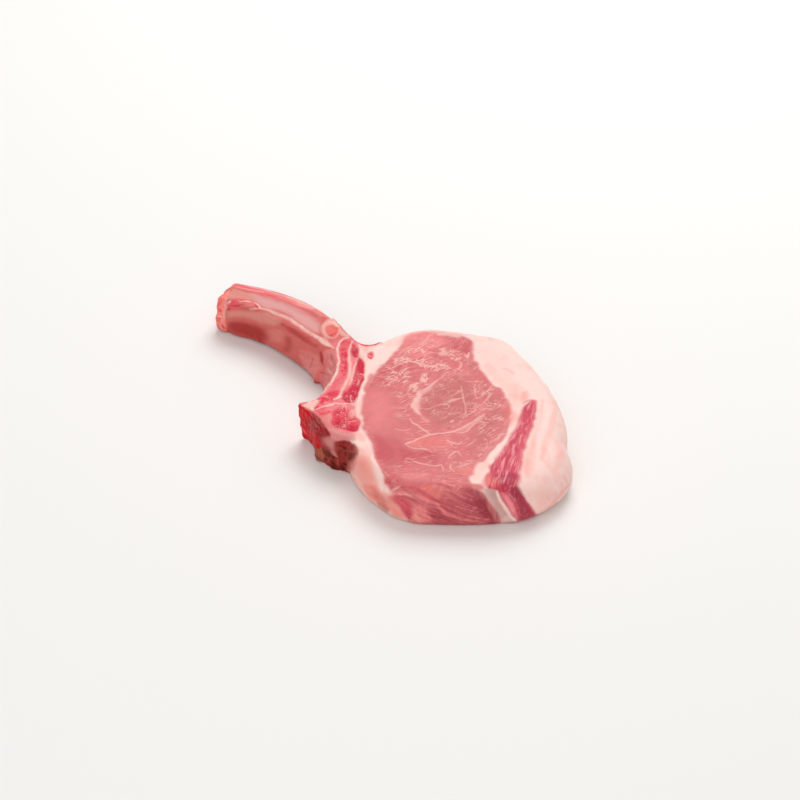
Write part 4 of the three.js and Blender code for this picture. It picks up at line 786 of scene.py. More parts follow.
def edge_distance(points, outline, values=None):
    """Distance of plan points to a closed outline, negative inside, and the outline's value there."""
    x, y = points
    best = np.full(x.shape, 1e9)
    carried = np.zeros(x.shape)
    inside = np.zeros(x.shape, bool)
    for i in range(len(outline)):
        (ax, ay), (bx, by) = outline[i - 1], outline[i]
        run, rise = bx - ax, by - ay
        share = np.clip(((x - ax) * run + (y - ay) * rise) / (run * run + rise * rise + 1e-12), 0, 1)
        gap = (x - ax - share * run) ** 2 + (y - ay - share * rise) ** 2
        closer = gap < best
        best = np.where(closer, gap, best)
        if values is not None:
            carried = np.where(closer, values[i - 1] + share * (values[i] - values[i - 1]), carried)
        if ay != by:
            inside ^= ((ay > y) != (by > y)) & (x < ax + (y - ay) * run / rise)
    return np.where(inside, -1, 1) * np.sqrt(best), carried


def line_distance(points, line):
    """Distance of plan points to an open line, and how far along it the nearest place lies, from 0 to 1."""
    best = np.full(points[0].shape, 1e9)
    place = np.zeros(points[0].shape)
    for i, (start, end) in enumerate(zip(line[:-1], line[1:])):
        step = end - start
        along = sum((p - s) * d for p, s, d in zip(points, start, step))
        share = np.clip(along / (step @ step + 1e-12), 0, 1)
        gap = sum((p - s - share * d) ** 2 for p, s, d in zip(points, start, step))
        place = np.where(gap < best, i + share, place)
        best = np.minimum(best, gap)
    return np.sqrt(best), place / (len(line) - 1)


def distance_map(outline, step=0.5):
    """A function that reads the depth inside an outline from a map of the plan."""
    low = np.array([-125.0, -90.0])
    axes = [np.arange(start, -start + step, step) for start in low]
    depth = -edge_distance(np.meshgrid(*axes, indexing="ij"), outline)[0]

    def read(x, y):
        u = np.clip((x - low[0]) / step, 0, depth.shape[0] - 1.001)
        v = np.clip((y - low[1]) / step, 0, depth.shape[1] - 1.001)
        i, j = u.astype(int), v.astype(int)
        u, v = u - i, v - j
        near = depth[i, j] * (1 - v) + depth[i, j + 1] * v
        far = depth[i + 1, j] * (1 - v) + depth[i + 1, j + 1] * v
        return near * (1 - u) + far * u

    return read


def fade(value, low, high):
    """Smooth step from 0 at low to 1 at high."""
    share = np.clip((value - low) / (high - low), 0, 1)
    return share * share * (3 - 2 * share)


def rounded_corner(across, up, radius):
    """Distance to a corner between two faces, rounded by a radius."""
    a = across + radius
    b = up + radius
    return np.hypot(np.maximum(a, 0), np.maximum(b, 0)) + np.minimum(np.maximum(a, b), 0) - radius


def melt(a, b, width):
    """Joins two shapes with a soft fillet."""
    overlap = np.maximum(width - np.abs(a - b), 0) / width
    return np.minimum(a, b) - overlap * overlap * width / 4


def grain(points, size, seed=0):
    """Smooth random numbers from -1 to 1 that change over a size in millimetres."""
    place = points / size
    cell = np.floor(place).astype(np.int64)
    share = place - cell
    share = share * share * (3 - 2 * share)
    total = np.zeros(len(points))
    for corner in itertools.product((0, 1), repeat=3):
        mixed = ((cell + corner) * (73856093, 19349663, 83492791)).sum(-1) + seed * 668265263
        mixed = ((mixed ^ (mixed >> 13)) * 1274126177) & 0xFFFFFFFF
        value = ((mixed ^ (mixed >> 16)) & 0xFFFF) / 32767.5 - 1
        total += np.prod(np.where(corner, share, 1 - share), -1) * value
    return total


class ChopForm:
    """The chop's shape as a distance field, from its outlines."""

    def __init__(self, slab, dome):
        self.slab = slab
        self.dome = dome
        edge = smooth_line(LOIN_EDGE, closed=True, per_span=12)
        spokes = edge[:, :2] - LOIN_CENTRE
        turn = np.arctan2(spokes[:, 1], spokes[:, 0])
        order = np.argsort(turn)
        self.loin = turn[order], np.hypot(*spokes.T)[order], edge[order, 2], edge[order, 3]
        self.vertebra = np.vstack([smooth_line(HOLLOW_EDGE), smooth_line(LOIN_SIDE_EDGE)[::-1]])
        self.rib = smooth_line(RIB).T
        self.tears = np.random.default_rng(5).uniform(*TEAR_RANGE, TEARS)
        self.eye_depth = distance_map(smooth_line(EYE_EDGE, closed=True))
        self.cap_depth = distance_map(smooth_line(CAP_EDGE, closed=True))

    def loin_field(self, x, y, z):
        turns, reaches, shoulders, feet = self.loin
        turn = np.arctan2(y - LOIN_CENTRE[1], x - LOIN_CENTRE[0])
        reach = np.interp(turn, turns, reaches, period=2 * math.pi)
        shoulder = np.interp(turn, turns, shoulders, period=2 * math.pi)
        foot = np.interp(turn, turns, feet, period=2 * math.pi)
        spoke = np.hypot(x - LOIN_CENTRE[0], y - LOIN_CENTRE[1])
        share = np.clip(spoke / (reach - shoulder), 0, 1)
        top = self.slab + self.dome * (1 - share * share)
        above = rounded_corner(spoke - reach, z - top, shoulder)
        below = rounded_corner(spoke - reach, -z, foot)
        return np.maximum(above, below)

    def vertebra_field(self, x, y, z):
        across, spread = edge_distance((x, y), self.vertebra[:, :2], self.vertebra[:, 2])
        across = across - spread * np.clip(1 - z / self.slab, 0, 1)
        above, below = VERTEBRA_ROUNDING
        return np.maximum(rounded_corner(across, z - self.slab, above), rounded_corner(across, -z, below))

    def rib_field(self, x, y, z):
        back, front, under, top, spread = [np.interp(x, self.rib[0], row) for row in self.rib[1:]]
        torn = np.interp(x, np.linspace(RIB[0][0], RIB_HEAD, TEARS), self.tears)
        front = front - torn * spread * np.clip(1 - z / self.slab, 0, 1)
        middle = (back + front) / 2
        level = (under + top) / 2
        across = np.abs(y - middle) - (back - front) / 2
        up = np.abs(z - level) - (top - under) / 2
        radius = np.where(z > level, *RIB_ROUNDING)
        bar = rounded_corner(across, up, radius)

        # the sawn end is slightly hollow and ragged
        end_x, end_y, lean = RIB_END
        end = (end_x - lean * (y - end_y) + 0.012 * (z - 10) ** 2) - x
        end = end + 0.35 * np.sin(0.8 * y + 0.35 * z) + 0.3 * np.sin(1.1 * z - 0.6 * y)
        bar = -melt(-bar, -end, END_FILLET)
        return np.maximum(bar, x - RIB_HEAD)

    def fields(self, x, y, z):
        """Distance to the whole chop's skin, and how deep a point lies in each tissue."""
        loin, vertebra, rib = self.loin_field(x, y, z), self.vertebra_field(x, y, z), self.rib_field(x, y, z)
        sunk = self.slab - z
        plan = x - GRAIN_RUN[0] * sunk, y - GRAIN_RUN[1] * sunk
        eye, cap = self.eye_depth(*plan), self.cap_depth(*plan)
        in_loin = np.minimum(vertebra, rib) - loin
        depths = [
            np.minimum(in_loin, eye),
            np.minimum(in_loin, cap),
            np.minimum(in_loin, -np.maximum(eye, cap)),
            np.minimum(loin, rib) - vertebra,
            np.minimum(loin, vertebra) - rib,
        ]
        skin = melt(melt(loin, vertebra, FILLET), rib, FILLET)
        return skin, np.stack(depths)


def tissue_net(skin, depths, low, step):
    """Quads round every tissue on a grid, with the tissue on the low and the high side of each; 0 is air."""
    label = np.where(skin < 0, depths.argmax(0) + 1, 0).astype(np.int8)
    cells = tuple(n - 1 for n in label.shape)
    corners = list(itertools.product((0, 1), repeat=3))

    def at_corner(array, offset):
        return array[tuple(slice(o, o + n) for o, n in zip(offset, cells))]

    mixed = np.zeros(cells, bool)
    for offset in corners[1:]:
        mixed |= at_corner(label, offset) != at_corner(label, corners[0])
    place = np.argwhere(mixed)
    rows = np.arange(len(place))
    labels = np.stack([at_corner(label, offset)[mixed] for offset in corners])
    skins = np.stack([at_corner(skin, offset)[mixed] for offset in corners])
    inner = np.stack([[at_corner(depth, offset)[mixed] for offset in corners] for depth in depths])
    airy = (labels == 0).any(0)
    total = np.zeros((len(place), 3))
    hits = np.zeros(len(place))
    for a, b in itertools.combinations(range(8), 2):
        start, end = np.array(corners[a]), np.array(corners[b])
        if abs(end - start).sum() > 1:
            continue
        one, other = labels[a], labels[b]
        cut = np.where(airy, (one == 0) != (other == 0), one != other)
        lead = [inner[one - 1, c, rows] - inner[other - 1, c, rows] for c in (a, b)]
        first, second = np.where(airy, skins[[a, b]], lead)
        share = np.clip(first / np.where(cut, first - second, 1), 0, 1)[:, None]
        total += np.where(cut[:, None], start + share * (end - start), 0)
        hits += cut
    points = (place + total / hits[:, None]) * step + low
    number = np.full(cells, -1, np.int64)
    number[mixed] = rows
    quads, sides = [], []
    for axis in range(3):
        u, v = (axis + 1) % 3, (axis + 2) % 3
        below = np.take(label, range(label.shape[axis] - 1), axis)
        beyond = np.take(label, range(1, label.shape[axis]), axis)
        at = np.argwhere(below != beyond)
        at = at[(at[:, u] > 0) & (at[:, v] > 0) & (at[:, u] < cells[u]) & (at[:, v] < cells[v])]
        ring = []
        for du, dv in ((1, 1), (0, 1), (0, 0), (1, 0)):
            cell = at.copy()
            cell[:, u] -= du
            cell[:, v] -= dv
            ring.append(number[tuple(cell.T)])
        quads.append(np.stack(ring, 1))
        sides.append(np.stack([below[tuple(at.T)], beyond[tuple(at.T)]], 1))
    return points, np.vstack(quads), np.vstack(sides)


def skin_normals(points, quads, sides):
    """Normals of the points on the chop's outside."""
    outer = (sides == 0).any(1)
    faces = np.where(sides[outer][:, :1] == 0, quads[outer][:, ::-1], quads[outer])
    a, b, c, d = (points[faces[:, i]] for i in range(4))
    turned = np.cross(c - a, d - b)
    normals = np.zeros(points.shape)
    np.add.at(normals, faces.ravel(), np.repeat(turned, 4, axis=0))
    return normals / np.maximum(np.linalg.norm(normals, axis=1), 1e-9)[:, None]


def view_way():
    """Direction from the chop to the camera."""
    level = math.cos(VIEW_HEIGHT)
    return np.array([level * math.sin(VIEW_BEARING), -level * math.cos(VIEW_BEARING), math.sin(VIEW_HEIGHT)])


def level_places(rays, level):
    """Where lines from the camera cross a level over the plan."""
    eye = view_way() * VIEW_DISTANCE + (*VIEW_TARGET, 0)
    return eye[:2] + rays[:, :2] * ((level - eye[2]) / rays[:, 2])[:, None]


def photo_rays(line):
    """Lines from the camera through points of the photograph."""
    across, down = (np.array(line) - PHOTO_SIZE / 2).T
    right = np.array([math.cos(VIEW_BEARING), math.sin(VIEW_BEARING), 0])
    up = np.cross(view_way(), right)
    return np.outer(across, right) - np.outer(down, up) - view_way() * VIEW_LENS / VIEW_SENSOR * PHOTO_SIZE


def mark_share(surface, filled, width, line):
    """How far a mark covers the surface's places, and which places it can reach."""
    place = surface.place
    line = smooth_line(level_places(photo_rays(line), surface.slab), closed=filled, per_span=5)
    low, high = line.min(0) - 2 * width, line.max(0) + 2 * width
    near = np.flatnonzero(((place > low) & (place < high)).all(1))
    spot = place[near].T
    if filled:
        return near, fade(-edge_distance(spot, line)[0], -width / 2, width)
    away, along = line_distance(spot, line)
    thinned = width * (0.55 + 0.45 * np.sin(math.pi * along))
    return near, surface.broken[near] * fade(away, 1.5 * thinned, 0.4 * thinned)


def paint_marks(surface, colours):
    """Lays the marks over the tissues' own colours, with their rise and lumps."""
    points = surface.points
    surface.place = level_places(points - view_way() * VIEW_DISTANCE - (*VIEW_TARGET, 0), surface.slab)
    for size, reach, seed in ((3.5, 0.4, 1), (1.3, 0.15, 4)):
        surface.place += reach * np.stack([grain(points, size, seed), grain(points, size, seed + 1)], 1)
    surface.broken = np.clip(0.9 + 0.35 * grain(points, 2.2, 8), 0, 1)
    facing = fade(surface.normals @ view_way(), *VIEW_GRAZE)
    relief = np.zeros((len(points), 2))
    marks = [(True, *row) for row in PATCHES] + [(False, *row) for row in STREAKS]
    for amount, line in MARBLING:
        near, share = mark_share(surface, True, MARBLING_SOFTNESS, line)
        surface.pattern[near] += share * facing[near] * (amount - surface.pattern[near])
    for filled, tissue, width, strength, line in marks:
        near, share = mark_share(surface, filled, width, line)
        share = (share * strength * facing[near])[:, None]
        surface.tint[near] += share * (np.array(getattr(colours, tissue)[:3]) - surface.tint[near])
        relief[near] += share * (np.array(TISSUE_RELIEF.get(tissue, (0, 0))) - relief[near])
        if tissue in PATTERN_SHOWN:
            surface.pattern[near] += share[:, 0] * (PATTERN_SHOWN[tissue] - surface.pattern[near])
    surface.rise, surface.lumps = relief.T


@functools.lru_cache(maxsize=1)
def chop_surface():
    """The chop's points and quads, with what its tissues look like at each point."""
    sizes = bpy.context.scene.chop_sizes
    colours = bpy.context.scene.chop_colours
    form = ChopForm(sizes.slab / MM, sizes.dome / MM)
    step = np.array(GRID_STEPS) * sizes.mesh_step / MM * 1
    low = np.array(GRID_LOW)
    axes = [np.arange(*ends) for ends in zip(low, GRID_HIGH, step)]
    x, y, z = np.meshgrid(*axes, indexing="ij", sparse=True)
    x, y = np.broadcast_arrays(x, y)
    points, quads, sides = tissue_net(*form.fields(x, y, z), low, step)
    normals = skin_normals(points, quads, sides)
    depths = form.fields(*points.T)[1]

    # the colours wander over the seams, least at the bones
    ragged = 0.9 * grain(points, 3.2, 11) + 0.2 * grain(points, 1.2, 12)
    ragged = ragged * np.array(TISSUE_RAGGED)[:, None]
    shares = fade(depths + ragged, -SEAM_SOFTNESS, SEAM_SOFTNESS) + 1e-6
    base = [colours.lean, colours.cap, colours.fat, colours.bone, colours.rib_flesh]
    tint = shares.T @ np.array([code[:3] for code in base]) / shares.sum(0)[:, None]

    # the sides of the bones that the photograph doesn't show are clouded like the ones that it shows
    cloud = fade(grain(points, 7, 21) + 0.4 * grain(points, 2, 23), -0.8, 0.8)[:, None]
    unseen = fade(normals @ view_way(), *VIEW_GRAZE[::-1])[:, None]
    for tissue, strength, *names in HIDDEN_CLOUDS:
        dark, pale = [np.array(getattr(colours, name)[:3]) for name in names]
        own = (shares[TISSUES.index(tissue)] / shares.sum(0))[:, None]
        tint += strength * own * unseen * ((1 - cloud) * dark + cloud * pale - tint)
    end = (normals[:, 0] < -0.7) & (depths.argmax(0) == TISSUES.index("rib"))
    tint += HIDDEN_END * unseen * end[:, None] * (np.array(colours.rib_end[:3]) - tint)

    # relief stays off the seams and the floor
    inner = fade(depths.max(0), 0, SEAM_MARGIN)
    free = inner * fade(points[:, 2], 0.3, 1.5)
    free[quads[(sides > 0).all(1)]] = 0
    surface = SimpleNamespace(
        points=points, quads=quads, sides=sides, normals=normals, slab=form.slab, tint=tint,
        pattern=np.array(TISSUE_PATTERN)[depths.argmax(0)],
        wall=fade(np.abs(normals[:, 2]), 0.85, 0.5),
        free=free)
    paint_marks(surface, colours)
    # painted shade: the walls' colour is darkened toward the floor
    surface.tint *= 1 - FOOT_SHADE * (surface.wall * fade(points[:, 2], *FOOT_SHADE_HEIGHTS))[:, None]
    surface.pattern *= inner
    surface.points = points + normals * surface.rise[:, None]
    surface.points[:, 2] = np.maximum(surface.points[:, 2], 0)
    return surface


def tissue_mesh(name, tissue):
    """Closed mesh of one tissue, with the attributes that its finish reads."""
    surface = chop_surface()
    number = TISSUES.index(tissue) + 1
    ahead = surface.sides[:, 0] == number
    behind = surface.sides[:, 1] == number
    faces = np.vstack([surface.quads[ahead], surface.quads[behind][:, ::-1]])
    outer = np.concatenate([surface.sides[ahead][:, 1], surface.sides[behind][:, 0]]) == 0
    used, faces = np.unique(faces, return_inverse=True)
    faces = faces.reshape(-1, 4)
    mesh = bpy.data.meshes.new(name)
    mesh.vertices.add(len(used))
    mesh.vertices.foreach_set("co", ((surface.points[used] + (*PLAN_SHIFT, 0)) * MM).ravel())
    mesh.loops.add(faces.size)
    mesh.loops.foreach_set("vertex_index", faces.ravel())
    mesh.polygons.add(len(faces))
    mesh.polygons.foreach_set("loop_start", np.arange(0, faces.size, 4))
    mesh.update(calc_edges=True)
    mesh.shade_smooth()

    # the skin's shading stops at the seams, or the walls inside would darken its edge
    edges = np.empty(faces.size, np.int32)
    mesh.loops.foreach_get("edge_index", edges)
    edges = edges.reshape(-1, 4)
    seam = np.intersect1d(edges[outer], edges[~outer])
    mesh.edges.foreach_set("use_edge_sharp", np.isin(np.arange(len(mesh.edges)), seam))

    for key in ("pattern", "wall", "free", "lumps"):
        values = getattr(surface, key)[used]
        mesh.attributes.new(key, "FLOAT", "POINT").data.foreach_set("value", values.astype(np.float32))
    tint = np.column_stack([surface.tint[used], np.ones(len(used))])
    mesh.attributes.new("tint", "FLOAT_COLOR", "POINT").data.foreach_set("color", tint.ravel())
    return mesh


def add_node(tree, kind, inputs=None, output=0, **settings):
    """Adds a node with its settings and links, and gives one of its outputs."""
    node = tree.nodes.new(kind)
    for key, value in settings.items():
        setattr(node, key, value)
    for key, value in (inputs or {}).items():
        if isinstance(value, bpy.types.NodeSocket):
            tree.links.new(value, node.inputs[key])
        else:
            node.inputs[key].default_value = value
    return node.outputs[output] if len(node.outputs) else node


@functools.lru_cache(maxsize=1)
def relief_tree():
    """Geometry nodes that raise fibres, lumps and folds out of a tissue's surface."""
    tree = bpy.data.node_groups.new("tissue_relief", "GeometryNodeTree")
    sockets = (
        ("Geometry", "NodeSocketGeometry"), ("Height", "NodeSocketFloat"), ("Size", "NodeSocketVector"),
        ("Turn", "NodeSocketFloat"), ("Lump size", "NodeSocketFloat"), ("Fold height", "NodeSocketFloat"),
        ("Fold size", "NodeSocketVector"), ("Material", "NodeSocketMaterial"),
    )
    for name, kind in sockets:
        tree.interface.new_socket(name, in_out="INPUT", socket_type=kind)
    tree.interface.new_socket("Geometry", in_out="OUTPUT", socket_type="NodeSocketGeometry")
    node = functools.partial(add_node, tree)
    given = tree.nodes.new("NodeGroupInput").outputs
    place = node("GeometryNodeInputPosition")
    read = {}
    for name in ("free", "wall", "lumps"):
        read[name] = node("GeometryNodeInputNamedAttribute", {"Name": name}, data_type="FLOAT")
    turned = node(
        "ShaderNodeVectorRotate", {"Vector": place, "Angle": given["Turn"]}, rotation_type="Z_AXIS")
    lump_size = node("ShaderNodeCombineXYZ", {i: given["Lump size"] for i in range(3)})
    total = 0.0
    for spot, size, detail, amounts in (
        (turned, given["Size"], 3.0, (given["Height"],)),
        (place, lump_size, 2.0, (read["lumps"], 2 * MM)),
        (place, given["Fold size"], 2.0, (given["Fold height"], read["wall"])),
    ):
        spot = node("ShaderNodeVectorMath", {0: spot, 1: size}, operation="DIVIDE")
        layer = node("ShaderNodeTexNoise", {"Vector": spot, "Scale": 1.0, "Detail": detail})
        layer = node("ShaderNodeMath", {0: layer, 1: 0.5}, operation="SUBTRACT")
        for amount in amounts:
            layer = node("ShaderNodeMath", {0: layer, 1: amount}, operation="MULTIPLY")
        total = node("ShaderNodeMath", {0: total, 1: layer}, operation="ADD")
    total = node("ShaderNodeMath", {0: total, 1: read["free"]}, operation="MULTIPLY")
    offset = node(
        "ShaderNodeVectorMath", {0: node("GeometryNodeInputNormal"), "Scale": total}, operation="SCALE")
    moved = node("GeometryNodeSetPosition", {"Geometry": given["Geometry"], "Offset": offset})
    whole = node("GeometryNodeRealizeInstances", {"Geometry": moved})
    finished = node("GeometryNodeSetMaterial", {"Geometry": whole, "Material": given["Material"]})
    node("NodeGroupOutput", {"Geometry": finished})
    return tree


def add_tissue(context, name, tissue, material, slot, node, **relief):
    """Makes the piece of one tissue, with its relief, in place of its solid."""
    piece = bpy.data.objects.new(name, tissue_mesh(name, tissue))
    context.scene.collection.objects.link(piece)
    modifier = piece.modifiers.new("relief", "NODES")
    modifier.node_group = relief_tree()
    values = {
        "Turn": 0.0, "Lump size": 3 * MM, "Fold height": 0.0, "Fold size": (MM, MM, MM), "Material": material}
    values.update(relief)
    for item in modifier.node_group.interface.items_tree:
        if item.name in values:
            modifier[item.identifier] = values[item.name]
    graph = context.evaluated_depsgraph_get()
    mesh = bpy.data.meshes.new_from_object(
        piece.evaluated_get(graph), preserve_all_data_layers=True, depsgraph=graph)
    piece.modifiers.remove(modifier)
    plain = piece.data
    piece.data = mesh
    bpy.data.meshes.remove(plain)
    mesh.name = name
    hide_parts(node)
    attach(piece, "root")
    return piece


def start_finish(name):
    """A new material, the function that adds its nodes, and what its tissue looks like at each point."""
    material = bpy.data.materials.new(name)
    material.use_nodes = True
    material.node_tree.nodes.clear()
    node = functools.partial(add_node, material.node_tree)
    read = {"tint": node("ShaderNodeAttribute", output="Color", attribute_name="tint")}
    for key in ("pattern", "wall", "free", "lumps"):
        read[key] = node("ShaderNodeAttribute", output="Fac", attribute_name=key)
    read["place"] = node("ShaderNodeTexCoord", output="Object")
    return material, node, read


def lay_tones(node, base, value, tones, *masks):
    """Mixes tones into a colour where a value passes from a start to an end, held back by masks."""
    for start, end, strength, tone in tones:
        share = node(
            "ShaderNodeMapRange", {"Value": value, "From Min": start, "From Max": end, "To Max": strength},
            interpolation_type="SMOOTHSTEP")
        for mask in masks:
            share = node("ShaderNodeMath", {0: share, 1: mask}, operation="MULTIPLY")
        base = node("ShaderNodeMix", {0: share, 6: base, 7: tone}, 2, data_type="RGBA")
    return base


def end_finish(node, read, base, roughness, height, depth, gloss):
    """Moist flesh over a colour, a roughness and a height map."""
    height = node("ShaderNodeMath", {0: height, 1: 0.5}, operation="SUBTRACT")
    height = node("ShaderNodeMath", {0: height, 1: read["pattern"]}, operation="MULTIPLY")
    bump = node("ShaderNodeBump", {"Height": height, "Strength": 1.0, "Distance": depth})
    inputs = {
        "Base Color": base, "Roughness": roughness, "Normal": bump, "IOR": 1.4, "Specular IOR Level": gloss,
        "Subsurface Radius": (1.0, 0.4, 0.25), "Subsurface Scale": 0.8 * MM,
        "Subsurface Weight": node("ShaderNodeMath", {0: read["free"], 1: 0.25}, operation="MULTIPLY")}
    node("ShaderNodeOutputMaterial", {"Surface": node("ShaderNodeBsdfPrincipled", inputs)})


def raw_lean(colours):
    """Raw loin: smooth moist lean, with threads of fat that run along the muscle and net its middle."""
    material, node, read = start_finish("raw_loin_lean")
    clouds = node("ShaderNodeTexNoise", {"Vector": read["place"], "Scale": 1 / (6 * MM), "Detail": 3.0})
    shade = node("ShaderNodeMapRange", {
        "Value": clouds, "From Min": 0.3, "From Max": 0.7, "To Min": 0.95, "To Max": 1.05})
    base = node("ShaderNodeHueSaturation", {"Color": read["tint"], "Value": shade})
    fibre_place = node("ShaderNodeMapping", {
        "Vector": read["place"], "Rotation": (0, 0, LEAN_RUN), "Scale": (5 * MM, 1.1 * MM, 5 * MM)},
        vector_type="TEXTURE")
    fibres = node("ShaderNodeTexNoise", {
        "Vector": fibre_place, "Scale": 1.0, "Detail": 3.0, "Distortion": 0.3})
    tones = (0.5, 0.3, 0.4, colours.lean_deep), (0.5, 0.72, 0.4, colours.lean_pale)
    base = lay_tones(node, base, fibres, tones, read["pattern"])

    # threads run where a wandering field crosses its middle; toward the front they turn along it
    ahead = node("ShaderNodeSeparateXYZ", {"Vector": read["place"]}, "Y")
    front = node(
        "ShaderNodeMapRange", {"Value": ahead, "From Min": -8 * MM, "From Max": -22 * MM},
        interpolation_type="SMOOTHSTEP")
    back = node("ShaderNodeMath", {0: 1.0, 1: front}, operation="SUBTRACT")
    face = node("ShaderNodeMath", {0: 1.0, 1: read["wall"]}, operation="SUBTRACT")
    shown = node("ShaderNodeMath", {0: face, 1: read["pattern"]}, operation="MULTIPLY")
    groups = node("ShaderNodeTexNoise", {"Vector": read["place"], "Scale": 1 / (8 * MM), "Detail": 2.0})
    groups = node(
        "ShaderNodeMapRange", {"Value": groups, "From Min": 0.4, "From Max": 0.58},
        interpolation_type="SMOOTHSTEP")
    shown = node("ShaderNodeMath", {0: shown, 1: groups}, operation="MULTIPLY")
    for zone, turn, size, width, strength in (
        (back, LEAN_RUN, (9, 2.2, 9), 0.05, 0.65),
        (front, FRONT_RUN, (11, 2.4, 11), 0.05, 0.6),
        (back, LEAN_RUN - 0.9, (6, 4.5, 6), 0.03, 0.65),
    ):
        wander = node("ShaderNodeMapping", {
            "Vector": read["place"], "Rotation": (0, 0, turn), "Scale": tuple(s * MM for s in size)},
            vector_type="TEXTURE")
        wander = node("ShaderNodeTexNoise", {
            "Vector": wander, "Scale": 1.0, "Detail": 2.0, "Distortion": 0.5})
        away = node("ShaderNodeMath", {0: wander, 1: 0.5}, operation="SUBTRACT")
        away = node("ShaderNodeMath", {0: away}, operation="ABSOLUTE")
        base = lay_tones(node, base, away, [(width, 0.0, strength, colours.thread)], zone, shown)

    # on the sides the cut follows the muscle, so its layers show as streaks that sink toward the fat
    along, slope = [
        node("ShaderNodeVectorMath", {0: read["place"], 1: way}, "Value", operation="DOT_PRODUCT")
        for way in (LAYER_RUN, LAYER_SLOPE)
    ]
    layer_place = node("ShaderNodeCombineXYZ", {"X": along, "Y": 0.0, "Z": slope})
    layer_place = node(
        "ShaderNodeMapping", {"Vector": layer_place, "Scale": (14 * MM, MM, 1.7 * MM)},
        vector_type="TEXTURE")
    layers = node("ShaderNodeTexNoise", {
        "Vector": layer_place, "Scale": 1.0, "Detail": 4.0, "Distortion": 0.5})
    tones = (0.5, 0.3, 0.75, colours.side_dark), (0.52, 0.7, 0.7, colours.lean_pale)
    base = lay_tones(node, base, layers, tones, read["wall"], read["pattern"])
    rough = node("ShaderNodeMapRange", {
        "Value": clouds, "From Min": 0.3, "From Max": 0.7, "To Min": 0.34, "To Max": 0.5})
    end_finish(node, read, base, rough, fibres, 0.15 * MM, 0.2)
    return material


def cap_lean(colours):
    """Raw cap muscle: coarse wavy fibres, pale and crimson by turns."""
    material, node, read = start_finish("raw_cap_lean")
    fibre_place = node("ShaderNodeMapping", {
        "Vector": read["place"], "Rotation": (0, 0, CAP_RUN), "Scale": (7 * MM, 1.2 * MM, 3 * MM)},
        vector_type="TEXTURE")
    fibres = node("ShaderNodeTexNoise", {
        "Vector": fibre_place, "Scale": 1.0, "Detail": 2.0, "Distortion": 0.7})
    shown = node("ShaderNodeMapRange", {"Value": read["wall"], "To Min": 1.0, "To Max": 0.35})
    shown = node("ShaderNodeMath", {0: shown, 1: read["pattern"]}, operation="MULTIPLY")
    tones = (0.5, 0.33, 0.8, colours.cap_deep), (0.51, 0.66, 0.6, colours.cap_pale)
    base = lay_tones(node, read["tint"], fibres, tones, shown)
    rough = node("ShaderNodeMapRange", {
        "Value": fibres, "From Min": 0.3, "From Max": 0.7, "To Min": 0.45, "To Max": 0.3})
    end_finish(node, read, base, rough, fibres, 0.4 * MM, 0.25)
    return material


def back_fat(colours):
    """Raw back fat: waxy and pale, faintly clouded with pink."""
    material, node, read = start_finish("raw_back_fat")
    clouds = node("ShaderNodeTexNoise", {"Vector": read["place"], "Scale": 1 / (11 * MM), "Detail": 3.0})
    base = lay_tones(node, read["tint"], clouds, [(0.5, 0.75, 0.35, colours.blush)], read["pattern"])
    band_place = node(
        "ShaderNodeMapping", {"Vector": read["place"], "Scale": (5 * MM, 5 * MM, 30 * MM)},
        vector_type="TEXTURE")
    bands = node("ShaderNodeTexNoise", {
        "Vector": band_place, "Scale": 1.0, "Detail": 3.0, "Distortion": 0.5})
    tones = [(0.48, 0.72, 0.4, colours.blush)]
    base = lay_tones(node, base, bands, tones, read["wall"], read["pattern"])
    curd = node("ShaderNodeTexNoise", {"Vector": read["place"], "Scale": 1 / (1.6 * MM), "Detail": 3.0})
    rough = node("ShaderNodeMapRange", {
        "Value": clouds, "From Min": 0.3, "From Max": 0.7, "To Min": 0.38, "To Max": 0.55})
    end_finish(node, read, base, rough, curd, 0.12 * MM, 0.2)
    return material


def sawn_bone(colours):
    """Sawn bone: wet red marrow in a net of pale bone, denser pale rims, and crumbs of dark flesh below."""
    material, node, read = start_finish("sawn_bone")
    pores = node("ShaderNodeTexNoise", {"Vector": read["place"], "Scale": 1 / MM, "Detail": 2.0})
    shade = node("ShaderNodeMapRange", {
        "Value": pores, "From Min": 0.32, "From Max": 0.68, "To Min": 0.93, "To Max": 1.05})
    base = node("ShaderNodeHueSaturation", {"Color": read["tint"], "Value": shade})
    cells = node(
        "ShaderNodeTexVoronoi", {"Vector": read["place"], "Scale": 1 / (1.5 * MM)}, "Distance",
        feature="DISTANCE_TO_EDGE")
    groups = node("ShaderNodeTexNoise", {"Vector": read["place"], "Scale": 1 / (4 * MM), "Detail": 2.0})
    gathered = node(
        "ShaderNodeMapRange", {"Value": groups, "From Min": 0.42, "From Max": 0.6},
        interpolation_type="SMOOTHSTEP")
    tones = [(0.2, 0.04, 0.75, colours.bone_net)]
    base = lay_tones(node, base, cells, tones, gathered, read["pattern"])
    crumbs = node("ShaderNodeTexNoise", {"Vector": read["place"], "Scale": 1 / (2.4 * MM), "Detail": 3.0})
    lumpy = node("ShaderNodeMapRange", {"Value": read["lumps"], "From Min": 0.8, "From Max": 1.5})
    # in lumpy flesh the crumbs get darker hollows, partly painted shade, and lighter rust-brown crumbs
    tones = (0.5, 0.36, 0.85, colours.clot_dark), (0.56, 0.7, 0.5, colours.rust)
    base = lay_tones(node, base, crumbs, tones, lumpy)
    rough = node("ShaderNodeMapRange", {
        "Value": pores, "From Min": 0.3, "From Max": 0.7, "To Min": 0.26, "To Max": 0.45})
    end_finish(node, read, base, rough, pores, 0.25 * MM, 0.12)
    return material


